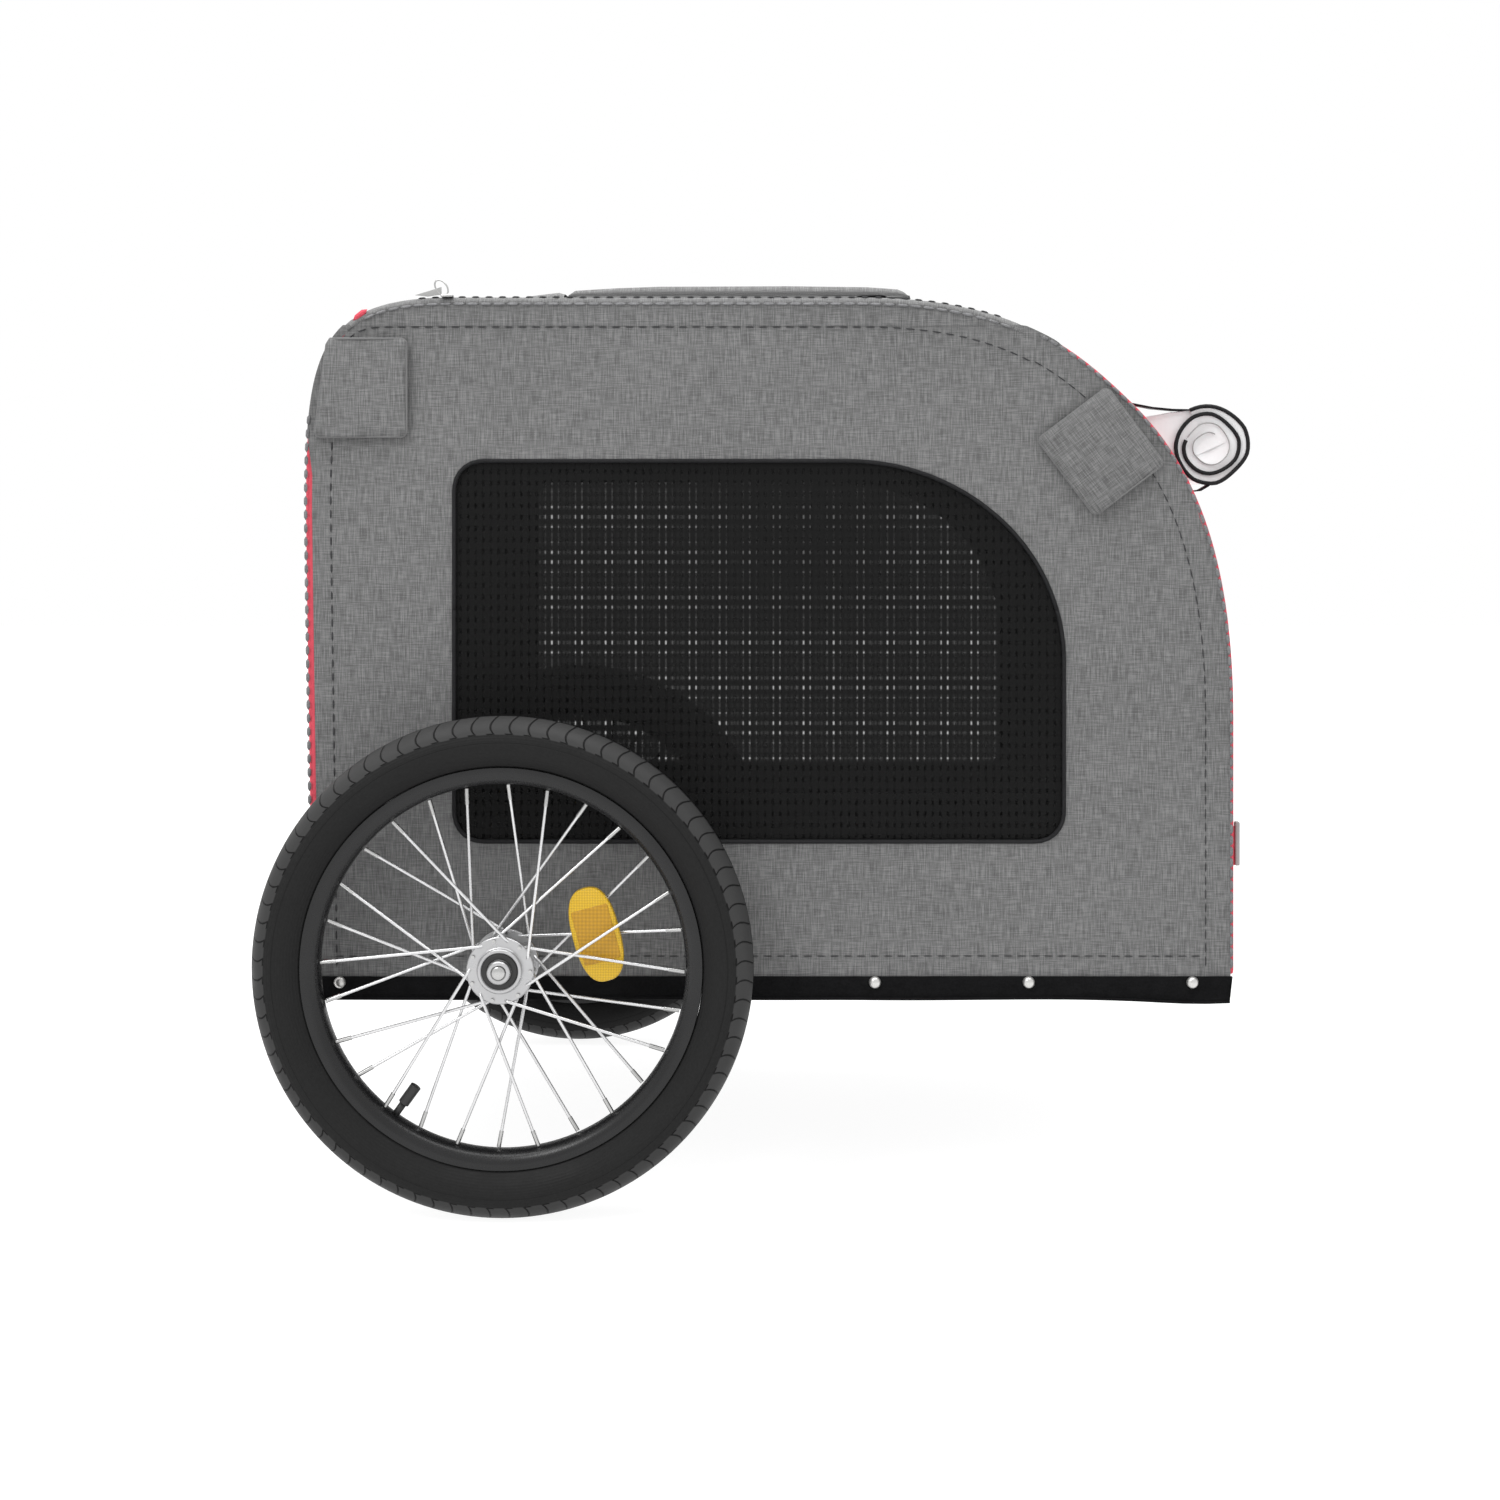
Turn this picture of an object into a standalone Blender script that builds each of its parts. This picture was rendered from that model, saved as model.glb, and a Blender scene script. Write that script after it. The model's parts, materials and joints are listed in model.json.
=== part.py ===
"""Bicycle trailer with a folding fabric cabin, as separate named solids.

Metres, +X forward, +Y to the left, +Z up, ground at z = 0. Most places along the trailer are stations:
distances ahead of the rear face of the cabin. REAR_X turns a station into x.
"""
import math

import bmesh
import bpy
from mathutils import Matrix, Vector

# ---- driving dimensions ----
GAP = 0.0003
WELD = 0.00001

# cabin
BODY_LENGTH = 0.756
BODY_BOTTOM = 0.161
ROOF_TOP = 0.7355
SIDE_Y = 0.245
FABRIC = 0.003
PANEL_INSET = 0.009
SKIRT_TOP = 0.1805
SKIRT_CLOTH = 0.0025
SKIRT_PROUD = 0.0005
RIVET_STATIONS = (0.030, 0.160, 0.3405, 0.4665, 0.592, 0.7255)
RIVET_Z = 0.1755
RIVET_RADIUS = 0.0048
RIVET_HEIGHT = 0.0025
WINDOW_REAR, WINDOW_FRONT = 0.122, 0.620
WINDOW_BOTTOM, WINDOW_TOP = 0.291, 0.600
WINDOW_CORNER = 0.022
WINDOW_CURVE = (0.176, 0.162)
MESH_CLOTH = 0.0015

# folding sides
SILL_HINGE_Z = 0.258
KNEE_Z = 0.479
ROOF_HINGE_Z = 0.700
HINGE_Y = 0.240
KNEE_Y = 0.247
LEAF_EDGE_GAP = 0.002
LEAF_TUBE = 0.006
LEAF_TUBE_Y = 0.234
LEAF_TUBE_INSET = 0.017
FLAP_CLOTH = 0.0015
REAR_FLAP = {"centre": (0.0475, 0.6605), "size": (0.075, 0.080), "tilt": 0.0, "sewn_end": -1}
FRONT_FLAP = {"centre": (0.6505, 0.6085), "size": (0.071, 0.078), "tilt": math.radians(37), "sewn_end": 1}

# roof
ROOF_PANEL_BOTTOM = 0.712
ROOF_RING_REAR, ROOF_RING_FRONT = 0.086, 0.502
ROOF_RING_Y, ROOF_RING_Z = 0.209, 0.722
ROOF_CROSS_STATIONS = (0.140, 0.488)
ROOF_CROSS_REACH = 0.239
HATCH_REAR, HATCH_FRONT, HATCH_Y = 0.212, 0.497, 0.205
HATCH_OVERLAP = 0.0225
HATCH_BOTTOM = 0.7375
ZIP_PULL_AT = (0.112, -0.236, 0.7385)
ZIP_PULL_REACH = -0.022
ZIP_PULL_RISE = 0.008
ZIP_PULL_WIDTH = 0.014
ZIP_PULL_WIRE = 0.0008

# doors
DOOR_CLOTH = 0.0025
DOOR_BOTTOM, DOOR_TOP = 0.187, 0.708
DOOR_HALF_WIDTH = 0.2395
DOOR_HINGE_Z = 0.186
DOOR_WINDOW_HALF_WIDTH = 0.170
REAR_DOOR = {"hinge": 0.0055, "window": (0.300, 0.560)}
FRONT_DOOR = {"hinge": BODY_LENGTH, "window": (0.260, 0.540)}
ROLL_STATION = 0.7486
ROLL_Z = 0.6154
ROLL_RADIUS = 0.031
ROLL_HALF_LENGTH = 0.205
FRONT_PULL_STATION = 0.7605
FRONT_PULL_Y = (-0.236, -0.228)
FRONT_PULL_Z = (0.262, 0.2975)
FRONT_PULL_THICKNESS = 0.003

# floor frame
FRAME_RADIUS = 0.009
FRAME_Y = 0.232
RAIL_Z = 0.172
SILL_Z = 0.235
POST_STATIONS = (0.022, 0.738)
CROSSBAR_STATIONS = (0.034, 0.726)
FLOOR_REAR, FLOOR_FRONT, FLOOR_HALF_WIDTH = 0.012, 0.748, 0.2405
FLOOR_Z = (0.1817, 0.1877)
POST_CLEARANCE = 0.0015

# wheels: widths are measured outward from the wheel's own middle plane
WHEEL_RADIUS = 0.199
WHEEL_Y = 0.297
AXLE_STATION = 0.170
RECEIVER_Y = (0.182, 0.262)
RECEIVER_RADIUS = 0.0105
RECEIVER_BORE = 0.0063
SPOKES_PER_FLANGE = 14
SPOKE_RADIUS = 0.001
FLANGE_MIDDLE = 0.0165
SPOKE_STAGGER = 0.0009
SPOKE_HOLE_RADIUS = 0.024
SPOKE_TIP_RADIUS = 0.143
SPOKE_TIP_WIDTH = 0.003
FIRST_SPOKE = math.radians(178.5)
REFLECTOR_ANGLE = math.radians(23)
REFLECTOR_REACH = 0.082
REFLECTOR_SIZE = (0.077, 0.037)
REFLECTOR_TILT = math.radians(104)
REFLECTOR_HALF_THICKNESS = 0.004

# drawbar
DRAWBAR_STATION = 0.735
DRAWBAR_Y = 0.212
DRAWBAR_Z = 0.138
DRAWBAR_REACH = 0.560
DRAWBAR_RADIUS = 0.011
EYE_RADIUS, EYE_HALF_HEIGHT = 0.013, 0.014
BOLT_RADIUS = 0.005
PLUNGER_SETBACK = 0.026
PLUNGER_RADIUS = 0.003
COUPLER_LENGTH, COUPLER_HALF_WIDTH, COUPLER_HALF_HEIGHT = 0.032, 0.014, 0.012
COUPLER_SLOT_HALF_HEIGHT = 0.005
PIN_SETBACK = 0.023
PIN_RADIUS = 0.004
BORE_CLEARANCE = 0.0006

# The model's middle, fore and aft, lies halfway between the tyre's back and the roll's front.
REAR_X = -(AXLE_STATION - WHEEL_RADIUS + ROLL_STATION + ROLL_RADIUS) / 2
SIDES = {"left": 1, "right": -1}

# name: colour, roughness, metallic
FINISHES = {
    "grey_fabric": ((0.21, 0.21, 0.215), 0.9, 0.0),
    "red_fabric": ((0.75, 0.06, 0.09), 0.85, 0.0),
    "black_fabric": ((0.012, 0.012, 0.013), 0.7, 0.0),
    "black_mesh": ((0.02, 0.02, 0.021), 0.8, 0.0),
    "frame_steel": ((0.02, 0.02, 0.022), 0.4, 0.6),
    "bright_steel": ((0.7, 0.7, 0.72), 0.25, 1.0),
    "tyre_rubber": ((0.025, 0.025, 0.026), 0.75, 0.0),
    "rim_black": ((0.015, 0.015, 0.016), 0.4, 0.3),
    "amber": ((0.8, 0.5, 0.03), 0.25, 0.0),
    "black_plastic": ((0.015, 0.015, 0.016), 0.5, 0.0),
    "clear_vinyl": ((0.8, 0.82, 0.83), 0.15, 0.0),
    "board": ((0.05, 0.05, 0.05), 0.8, 0.0),
}


def clear_scene():
    for item in list(bpy.data.objects):
        bpy.data.objects.remove(item)


def new_collection(name):
    collection = bpy.data.collections.new(name)
    bpy.context.scene.collection.children.link(collection)
    return collection


clear_scene()
TRAILER = new_collection("bicycle_trailer")
CUTTERS = new_collection("cutters")
AXES = {}


def finish_material(name):
    if name in bpy.data.materials:
        return bpy.data.materials[name]
    colour, roughness, metallic = FINISHES[name]
    material = bpy.data.materials.new(name)
    material.use_nodes = True
    shader = material.node_tree.nodes["Principled BSDF"]
    shader.inputs["Base Color"].default_value = (*colour, 1)
    shader.inputs["Roughness"].default_value = roughness
    shader.inputs["Metallic"].default_value = metallic
    return material


def x_at(station):
    return REAR_X + station


def add_axis(name, position, parent=None):
    """Empty on a joint's axis, which the moving pieces hang on."""
    empty = bpy.data.objects.new(name, None)
    TRAILER.objects.link(empty)
    empty.location = position
    if parent:
        empty.parent = AXES[parent]
        empty.location = Vector(position) - AXES[parent].matrix_world.translation
    bpy.context.view_layer.update()
    AXES[name] = empty


def add_part(solid, finish, axis=None):
    """Put a finished solid in the trailer, with its material and the axis that it moves on."""
    solid.data.materials.clear()
    solid.data.materials.append(finish_material(finish))
    TRAILER.objects.link(solid)
    if axis:
        solid.parent = AXES[axis]
        solid.matrix_parent_inverse = AXES[axis].matrix_world.inverted()
    return solid


def combine(target, tool, operation):
    """Boolean modifier; the tool goes with the cutters."""
    modifier = target.modifiers.new(tool.name, "BOOLEAN")
    modifier.operation = operation
    modifier.object = tool
    modifier.solver = "EXACT"
    CUTTERS.objects.link(tool)
    tool.hide_render = True
    tool.display_type = "WIRE"
    return target


def cut(target, *tools):
    for tool in tools:
        combine(target, tool, "DIFFERENCE")
    return target


def join(target, *tools):
    for tool in tools:
        combine(target, tool, "UNION")
    return target


# ---- shapes ----
def as_mesh(shape):
    """Turn a curve object into a welded mesh object in the same place."""
    bpy.context.scene.collection.objects.link(shape)
    bpy.context.view_layer.update()
    evaluated = shape.evaluated_get(bpy.context.evaluated_depsgraph_get())
    mesh = bpy.data.meshes.new_from_object(evaluated)
    matrix = shape.matrix_world.copy()
    name = shape.name
    bpy.data.objects.remove(shape)
    form = bmesh.new()
    form.from_mesh(mesh)
    bmesh.ops.remove_doubles(form, verts=form.verts, dist=WELD)
    bmesh.ops.recalc_face_normals(form, faces=form.faces)
    form.to_mesh(mesh)
    form.free()
    mesh.name = name
    solid = bpy.data.objects.new(name, mesh)
    solid.matrix_world = matrix
    return solid


def plate(name, outline, y_low, y_high):
    """Flat outline of (station, height) points, extruded between two values of y."""
    curve = bpy.data.curves.new(name, "CURVE")
    curve.dimensions = "2D"
    curve.fill_mode = "BOTH"
    curve.extrude = (y_high - y_low) / 2
    spline = curve.splines.new("POLY")
    spline.points.add(len(outline) - 1)
    for point, (station, height) in zip(spline.points, outline):
        point.co = (station, height, 0, 1)
    spline.use_cyclic_u = True
    shape = bpy.data.objects.new(name, curve)
    shape.rotation_euler = (math.radians(90), 0, 0)
    shape.location = (REAR_X, (y_low + y_high) / 2, 0)
    return as_mesh(shape)


def tube(name, points, radius, closed=False):
    """Round tube along a path of world points."""
    curve = bpy.data.curves.new(name, "CURVE")
    curve.dimensions = "3D"
    curve.bevel_depth = radius
    curve.bevel_resolution = 2
    curve.use_fill_caps = True
    spline = curve.splines.new("POLY")
    spline.points.add(len(points) - 1)
    for point, place in zip(spline.points, points):
        point.co = (*place, 1)
    spline.use_cyclic_u = closed
    return as_mesh(bpy.data.objects.new(name, curve))


def box(name, low, high, bevel=0.0):
    """Box between two world corners, with optional rounded edges."""
    mesh = bpy.data.meshes.new(name)
    form = bmesh.new()
    size = Vector(high) - Vector(low)
    bmesh.ops.create_cube(form, size=1, matrix=Matrix.Diagonal((*size, 1)))
    form.to_mesh(mesh)
    form.free()
    solid = bpy.data.objects.new(name, mesh)
    solid.location = (Vector(high) + Vector(low)) / 2
    if bevel:
        modifier = solid.modifiers.new("edges", "BEVEL")
        modifier.width = bevel
        modifier.segments = 1
    return solid


def rod(name, start, end, radius, sides=12):
    """Round bar between two world points."""
    start, end = Vector(start), Vector(end)
    along = end - start
    mesh = bpy.data.meshes.new(name)
    form = bmesh.new()
    bmesh.ops.create_cone(
        form, cap_ends=True, segments=sides, radius1=radius, radius2=radius, depth=along.length,
    )
    form.to_mesh(mesh)
    form.free()
    mesh.shade_smooth()
    mesh.set_sharp_from_angle(angle=math.radians(40))
    solid = bpy.data.objects.new(name, mesh)
    solid.rotation_mode = "QUATERNION"
    solid.rotation_quaternion = along.to_track_quat("Z", "Y")
    solid.location = (start + end) / 2
    return solid


def turned(name, profile, centre, side, steps, closed=True):
    """Turn a profile of (radius, outward) points about an axis along Y, outward on the given side.

    The profile runs down its outer side, from the outward end to the inward end.
    """
    mesh = bpy.data.meshes.new(name)
    form = bmesh.new()
    points = [form.verts.new((radius, 0, outward)) for radius, outward in profile]
    for first, second in zip(points, points[1:]):
        form.edges.new((first, second))
    if closed:
        form.edges.new((points[-1], points[0]))
    form.to_mesh(mesh)
    form.free()
    solid = bpy.data.objects.new(name, mesh)
    solid.location = centre
    solid.rotation_euler = (math.radians(-90 * side), 0, 0)
    screw = solid.modifiers.new("turn", "SCREW")
    screw.axis = "Z"
    screw.angle = math.tau
    screw.steps = steps
    screw.render_steps = steps
    screw.use_merge_vertices = True
    screw.merge_threshold = WELD
    screw.use_smooth_shade = True
    return solid


# ---- outlines ----
def bezier(start, handle_1, handle_2, end, steps):
    """Points of a cubic curve, without its last point."""
    points = []
    for step in range(steps):
        t = step / steps
        weights = ((1 - t) ** 3, 3 * (1 - t) ** 2 * t, 3 * (1 - t) * t ** 2, t ** 3)
        control = (start, handle_1, handle_2, end)
        points.append(tuple(sum(w * p[axis] for w, p in zip(weights, control)) for axis in (0, 1)))
    return points


def cabin_line(inset=0.0):
    """The cabin's side outline from the bottom of the rear edge, over the top, to the front bottom."""
    knee = (0.677, 0.649)
    slope = math.radians(-44)
    along = (math.cos(slope), math.sin(slope))
    line = [(0.006, BODY_BOTTOM)]
    line += bezier((0.0005, 0.560), (0.0005, 0.690), (0.010, ROOF_TOP), (0.120, ROOF_TOP), 8)
    line += bezier(
        (0.455, ROOF_TOP), (0.585, ROOF_TOP),
        (knee[0] - 0.060 * along[0], knee[1] - 0.060 * along[1]), knee, 6,
    )
    line += bezier(
        knee, (knee[0] + 0.080 * along[0], knee[1] + 0.080 * along[1]),
        (BODY_LENGTH, 0.510), (BODY_LENGTH, 0.390), 6,
    )
    line += [(BODY_LENGTH, 0.390), (BODY_LENGTH, BODY_BOTTOM)]
    if not inset:
        return line
    moved = []
    for index, point in enumerate(line):
        before = Vector(line[max(index - 1, 0)])
        after = Vector(line[min(index + 1, len(line) - 1)])
        run = (after - before).normalized()
        moved.append((point[0] + inset * run.y, point[1] - inset * run.x))
    return moved


def crossing(first, second, height):
    t = (height - first[1]) / (second[1] - first[1])
    return (first[0] + t * (second[0] - first[0]), height)


def edge_run(end, low, high, inset=0.0):
    """Points up the rear or the front edge of the cabin between two heights."""
    line = cabin_line(inset)
    half = len(line) // 2
    run = line[:half] if end == "rear" else line[:half - 1:-1]
    points = []
    for first, second in zip(run, run[1:]):
        if first[1] < low < second[1]:
            points.append(crossing(first, second, low))
        if low <= second[1] <= high:
            points.append(second)
        if first[1] < high < second[1]:
            points.append(crossing(first, second, high))
    return points


def band(low, high, inset):
    """Outline of the part of the cabin's side between two heights."""
    return edge_run("rear", low, high, inset) + edge_run("front", low, high, inset)[::-1]


def window_outline(grow=0.0):
    """Outline of the mesh window: three small corners and a long quarter ellipse at the front top."""
    rear, front = WINDOW_REAR - grow, WINDOW_FRONT + grow
    bottom, top = WINDOW_BOTTOM - grow, WINDOW_TOP + grow
    corner, long_x, long_z = WINDOW_CORNER + grow, WINDOW_CURVE[0] + grow, WINDOW_CURVE[1] + grow
    centres = (
        (rear + corner, bottom + corner, corner, corner, 180),
        (front - corner, bottom + corner, corner, corner, 270),
        (front - long_x, top - long_z, long_x, long_z, 0),
        (rear + corner, top - corner, corner, corner, 90),
    )
    points = []
    for x, z, radius_x, radius_z, start in centres:
        steps = 8 if radius_x > corner else 3
        for step in range(steps + 1):
            angle = math.radians(start + 90 * step / steps)
            points.append((x + radius_x * math.cos(angle), z + radius_z * math.sin(angle)))
    return points


def clip(outline, low, high):
    """Keep the part of a closed outline between two heights."""
    for height, sign in ((low, 1), (high, -1)):
        kept = []
        for first, second in zip(outline, outline[1:] + outline[:1]):
            inside_first = (first[1] - height) * sign >= 0
            inside_second = (second[1] - height) * sign >= 0
            if inside_first:
                kept.append(first)
            if inside_first != inside_second:
                kept.append(crossing(first, second, height))
        outline = kept
    return outline


def rectangle(centre, along, across, tilt=0.0):
    """Corners of a rectangle in the side plane, tilted about its centre."""
    corners = []
    for a, b in ((-1, -1), (1, -1), (1, 1), (-1, 1)):
        x, z = a * along / 2, b * across / 2
        corners.append((
            centre[0] + x * math.cos(tilt) - z * math.sin(tilt),
            centre[1] + x * math.sin(tilt) + z * math.cos(tilt),
        ))
    return corners


def capsule(centre, length, width, tilt):
    """Outline with two round ends."""
    points = []
    for end in (0, 1):
        for step in range(7):
            angle = tilt - math.pi / 2 + math.pi * end + math.pi * step / 6
            reach = (length - width) / 2 * (1 - 2 * end)
            points.append((
                centre[0] + reach * math.cos(tilt) + width / 2 * math.cos(angle),
                centre[1] + reach * math.sin(tilt) + width / 2 * math.sin(angle),
            ))
    return points


def mirrored(side, low, high):
    """The two limits of y, in order, on one side."""
    return (low, high) if side > 0 else (-high, -low)


# ---- floor ----
def side_frame(label, side):
    """Welded side of the floor frame: rail below, sill above, a post at each end."""
    rear, front = (x_at(station) for station in POST_STATIONS)
    y = side * FRAME_Y
    return tube(
        f"side_frame_{label}",
        [(rear, y, RAIL_Z), (front, y, RAIL_Z), (front, y, SILL_Z), (rear, y, SILL_Z)],
        FRAME_RADIUS, closed=True,
    )


def cross_tube(name, station):
    reach = FRAME_Y - FRAME_RADIUS - GAP * 2
    return rod(name, (x_at(station), -reach, RAIL_Z), (x_at(station), reach, RAIL_Z), FRAME_RADIUS)


def skirt_side(label, side):
    """Black band along the bottom edge, with its row of domed rivets."""
    outer = SIDE_Y + SKIRT_PROUD
    y_low, y_high = mirrored(side, outer - SKIRT_CLOTH, outer)
    rear, front = x_at(0.0065), x_at(BODY_LENGTH - 0.0005)
    skirt = box(f"skirt_{label}", (rear, y_low, BODY_BOTTOM), (front, y_high, SKIRT_TOP))
    for number, station in enumerate(RIVET_STATIONS):
        rivet = rod(
            f"rivet_{label}_{number}", (x_at(station), side * (outer - 0.001), RIVET_Z),
            (x_at(station), side * (outer + RIVET_HEIGHT), RIVET_Z), RIVET_RADIUS, sides=8,
        )
        join(skirt, rivet)
    return skirt


def skirt_end(name, low):
    half = SIDE_Y - SKIRT_CLOTH
    return box(name, (x_at(low), -half, BODY_BOTTOM), (x_at(low + 0.003), half, SKIRT_TOP))


def base_wall(label, side):
    """Fixed strip of side cover between the skirt and the sill hinge, with the axle's hole."""
    y_low, y_high = mirrored(side, SIDE_Y - FABRIC, SIDE_Y)
    outline = band(SKIRT_TOP + 0.001, SILL_HINGE_Z - LEAF_EDGE_GAP, GAP)
    wall = plate(f"base_wall_{label}", outline, y_low, y_high)
    hole = rod(
        f"axle_hole_{label}", (x_at(AXLE_STATION), side * 0.2, WHEEL_RADIUS),
        (x_at(AXLE_STATION), side * 0.3, WHEEL_RADIUS), RECEIVER_RADIUS + 0.002, sides=16,
    )
    return cut(wall, hole)


def axle_receiver(label, side):
    """Tube that takes the pull-out axle, on its bracket plate."""
    centre = (x_at(AXLE_STATION), 0, WHEEL_RADIUS)
    inward, outward = RECEIVER_Y
    tube_profile = [
        (RECEIVER_BORE, outward), (RECEIVER_RADIUS, outward),
        (RECEIVER_RADIUS, inward), (RECEIVER_BORE, inward),
    ]
    receiver = turned(f"axle_receiver_{label}", tube_profile, centre, side, 16)
    y_low, y_high = mirrored(side, 0.228, 0.236)
    bracket = box(
        f"axle_bracket_{label}", (centre[0] - 0.028, y_low, 0.1885), (centre[0] + 0.028, y_high, 0.2255),
    )
    bore = rod(
        f"axle_bore_{label}", (centre[0], side * 0.15, WHEEL_RADIUS), (centre[0], side * 0.28, WHEEL_RADIUS),
        (RECEIVER_BORE + RECEIVER_RADIUS) / 2, sides=16,
    )
    return join(receiver, cut(bracket, bore))


def floor_board():
    """Board on the rails, notched round the frame's four posts."""
    half = FLOOR_HALF_WIDTH
    board = box("floor_board", (x_at(FLOOR_REAR), -half, FLOOR_Z[0]), (x_at(FLOOR_FRONT), half, FLOOR_Z[1]))
    reach = FRAME_RADIUS + POST_CLEARANCE
    for label, side in SIDES.items():
        for end, station in zip(("rear", "front"), POST_STATIONS):
            y_low, y_high = mirrored(side, FRAME_Y - reach, SIDE_Y + 0.005)
            notch = box(
                f"post_notch_{end}_{label}", (x_at(station) - reach, y_low, FLOOR_Z[0] - 0.01),
                (x_at(station) + reach, y_high, FLOOR_Z[1] + 0.01),
            )
            cut(board, notch)
    return board


def build_floor():
    for label, side in SIDES.items():
        add_part(side_frame(label, side), "frame_steel")
        add_part(skirt_side(label, side), "black_fabric")
        add_part(base_wall(label, side), "grey_fabric")
        add_part(axle_receiver(label, side), "frame_steel")
    rear, front = CROSSBAR_STATIONS
    for name, station in (("crossbar_rear", rear), ("axle_beam", AXLE_STATION), ("crossbar_front", front)):
        add_part(cross_tube(name, station), "frame_steel")
    add_part(skirt_end("skirt_rear", 0.0065), "black_fabric")
    add_part(skirt_end("skirt_front", BODY_LENGTH - 0.0035), "black_fabric")
    add_part(floor_board(), "board")


# ---- folding sides ----
def leaf_frame(name, side, level, low, high):
    """Hoop just inside the cover, open at the knee: a bar at the sill or the roof and two uprights."""
    limits = (low + LEAF_TUBE, high - LEAF_TUBE, LEAF_TUBE_INSET)
    rear, front = edge_run("rear", *limits), edge_run("front", *limits)
    path = rear[::-1] + front if level == "lower" else rear + front[::-1]
    return tube(name, [(x_at(s), side * LEAF_TUBE_Y, z) for s, z in path], LEAF_TUBE)


def build_leaf(label, side, level, low, high, axis):
    """One folding leaf: its tube frame, its cover and its part of the mesh window."""
    bottom, top = low + LEAF_EDGE_GAP, high - LEAF_EDGE_GAP
    add_part(leaf_frame(f"{label}_{level}_frame", side, level, bottom, top), "frame_steel", axis)
    cover_top = DOOR_TOP if level == "upper" else top
    y_low, y_high = mirrored(side, SIDE_Y - FABRIC, SIDE_Y)
    panel = plate(f"{label}_{level}_panel", band(bottom, cover_top, PANEL_INSET), y_low, y_high)
    opening = plate(f"{label}_{level}_opening", window_outline(GAP), y_low - 0.01, y_high + 0.01)
    add_part(cut(panel, opening), "grey_fabric", axis)
    middle = SIDE_Y - FABRIC / 2
    y_low, y_high = mirrored(side, middle - MESH_CLOTH / 2, middle + MESH_CLOTH / 2)
    window = plate(f"{label}_{level}_mesh", clip(window_outline(), bottom, cover_top), y_low, y_high)
    add_part(window, "black_mesh", axis)


def build_corner_flap(end, shape, label, side, leaf_axis):
    """Hook-and-loop tab on the upper leaf, hinged on the outer face of its sewn edge."""
    inner = SIDE_Y + 0.0004
    outer = inner + FLAP_CLOTH
    reach = shape["sewn_end"] * shape["size"][0] / 2
    station = shape["centre"][0] + reach * math.cos(shape["tilt"])
    height = shape["centre"][1] + reach * math.sin(shape["tilt"])
    axis = f"{end}_flap_{label}_axis"
    add_axis(axis, (x_at(station), side * outer, height), leaf_axis)
    outline = rectangle(shape["centre"], *shape["size"], shape["tilt"])
    flap = plate(f"{end}_flap_{label}", outline, *mirrored(side, inner, outer))
    add_part(flap, "grey_fabric", axis)


def build_sides():
    for label, side in SIDES.items():
        sill_axis, knee_axis = f"{label}_sill_axis", f"{label}_knee_axis"
        add_axis(sill_axis, (0, side * HINGE_Y, SILL_HINGE_Z))
        add_axis(knee_axis, (0, side * KNEE_Y, KNEE_Z), sill_axis)
        build_leaf(label, side, "lower", SILL_HINGE_Z, KNEE_Z, sill_axis)
        build_leaf(label, side, "upper", KNEE_Z, ROOF_HINGE_Z, knee_axis)
        build_corner_flap("rear", REAR_FLAP, label, side, knee_axis)
        build_corner_flap("front", FRONT_FLAP, label, side, knee_axis)


# ---- roof ----
def roof_frame():
    """Ring under the roof cover with two cross rods that reach the folding sides."""
    rear, front, y, z = x_at(ROOF_RING_REAR), x_at(ROOF_RING_FRONT), ROOF_RING_Y, ROOF_RING_Z
    corners = [(rear, -y, z), (front, -y, z), (front, y, z), (rear, y, z)]
    ring = tube("roof_frame", corners, LEAF_TUBE, closed=True)
    for number, station in enumerate(ROOF_CROSS_STATIONS):
        ends = [(x_at(station), reach, z) for reach in (-ROOF_CROSS_REACH, ROOF_CROSS_REACH)]
        join(ring, rod(f"roof_cross_{number}", *ends, LEAF_TUBE - 0.001, sides=8))
    return ring


def roof_panel():
    """Cover over the roof, open below, with the hatch opening in its top."""
    outer = clip(cabin_line(), ROOF_PANEL_BOTTOM, 1)
    inner = clip(cabin_line(FABRIC), ROOF_PANEL_BOTTOM - 0.02, 1)
    panel = plate("roof_panel", outer, -SIDE_Y, SIDE_Y)
    hollow = plate("roof_hollow", inner, -SIDE_Y + FABRIC, SIDE_Y - FABRIC)
    half = HATCH_Y - HATCH_OVERLAP - 0.0075
    opening = box(
        "hatch_opening", (x_at(HATCH_REAR + HATCH_OVERLAP), -half, ROOF_TOP - 0.03),
        (x_at(HATCH_FRONT - HATCH_OVERLAP), half, ROOF_TOP + 0.03),
    )
    return cut(panel, hollow, opening)


def roof_hatch():
    """Padded flap with a low crown over the hatch opening."""
    crown = [
        (HATCH_REAR, HATCH_BOTTOM), (HATCH_FRONT - 0.002, HATCH_BOTTOM), (HATCH_FRONT, HATCH_BOTTOM + 0.0045),
        (HATCH_FRONT - 0.009, HATCH_BOTTOM + 0.0095), (0.40, HATCH_BOTTOM + 0.0125),
        (0.30, HATCH_BOTTOM + 0.011), (HATCH_REAR + 0.004, HATCH_BOTTOM + 0.0035),
    ]
    return plate("roof_hatch", crown, -HATCH_Y, HATCH_Y)


def zip_pull_loop(start):
    """Wire loop of a zip pull: a teardrop that rises along X from its hinge."""
    points = []
    steps = 10
    for step in range(steps):
        turn = math.tau * step / steps
        share = (1 - math.cos(turn)) / 2
        across = ZIP_PULL_WIDTH / 2 * math.sin(turn) * (0.7 + 0.3 * share)
        along, rise = ZIP_PULL_REACH * share, ZIP_PULL_RISE * share
        points.append((start[0] + along, start[1] + across, start[2] + rise))
    return tube("roof_zip_pull", points, ZIP_PULL_WIRE, closed=True)


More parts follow.
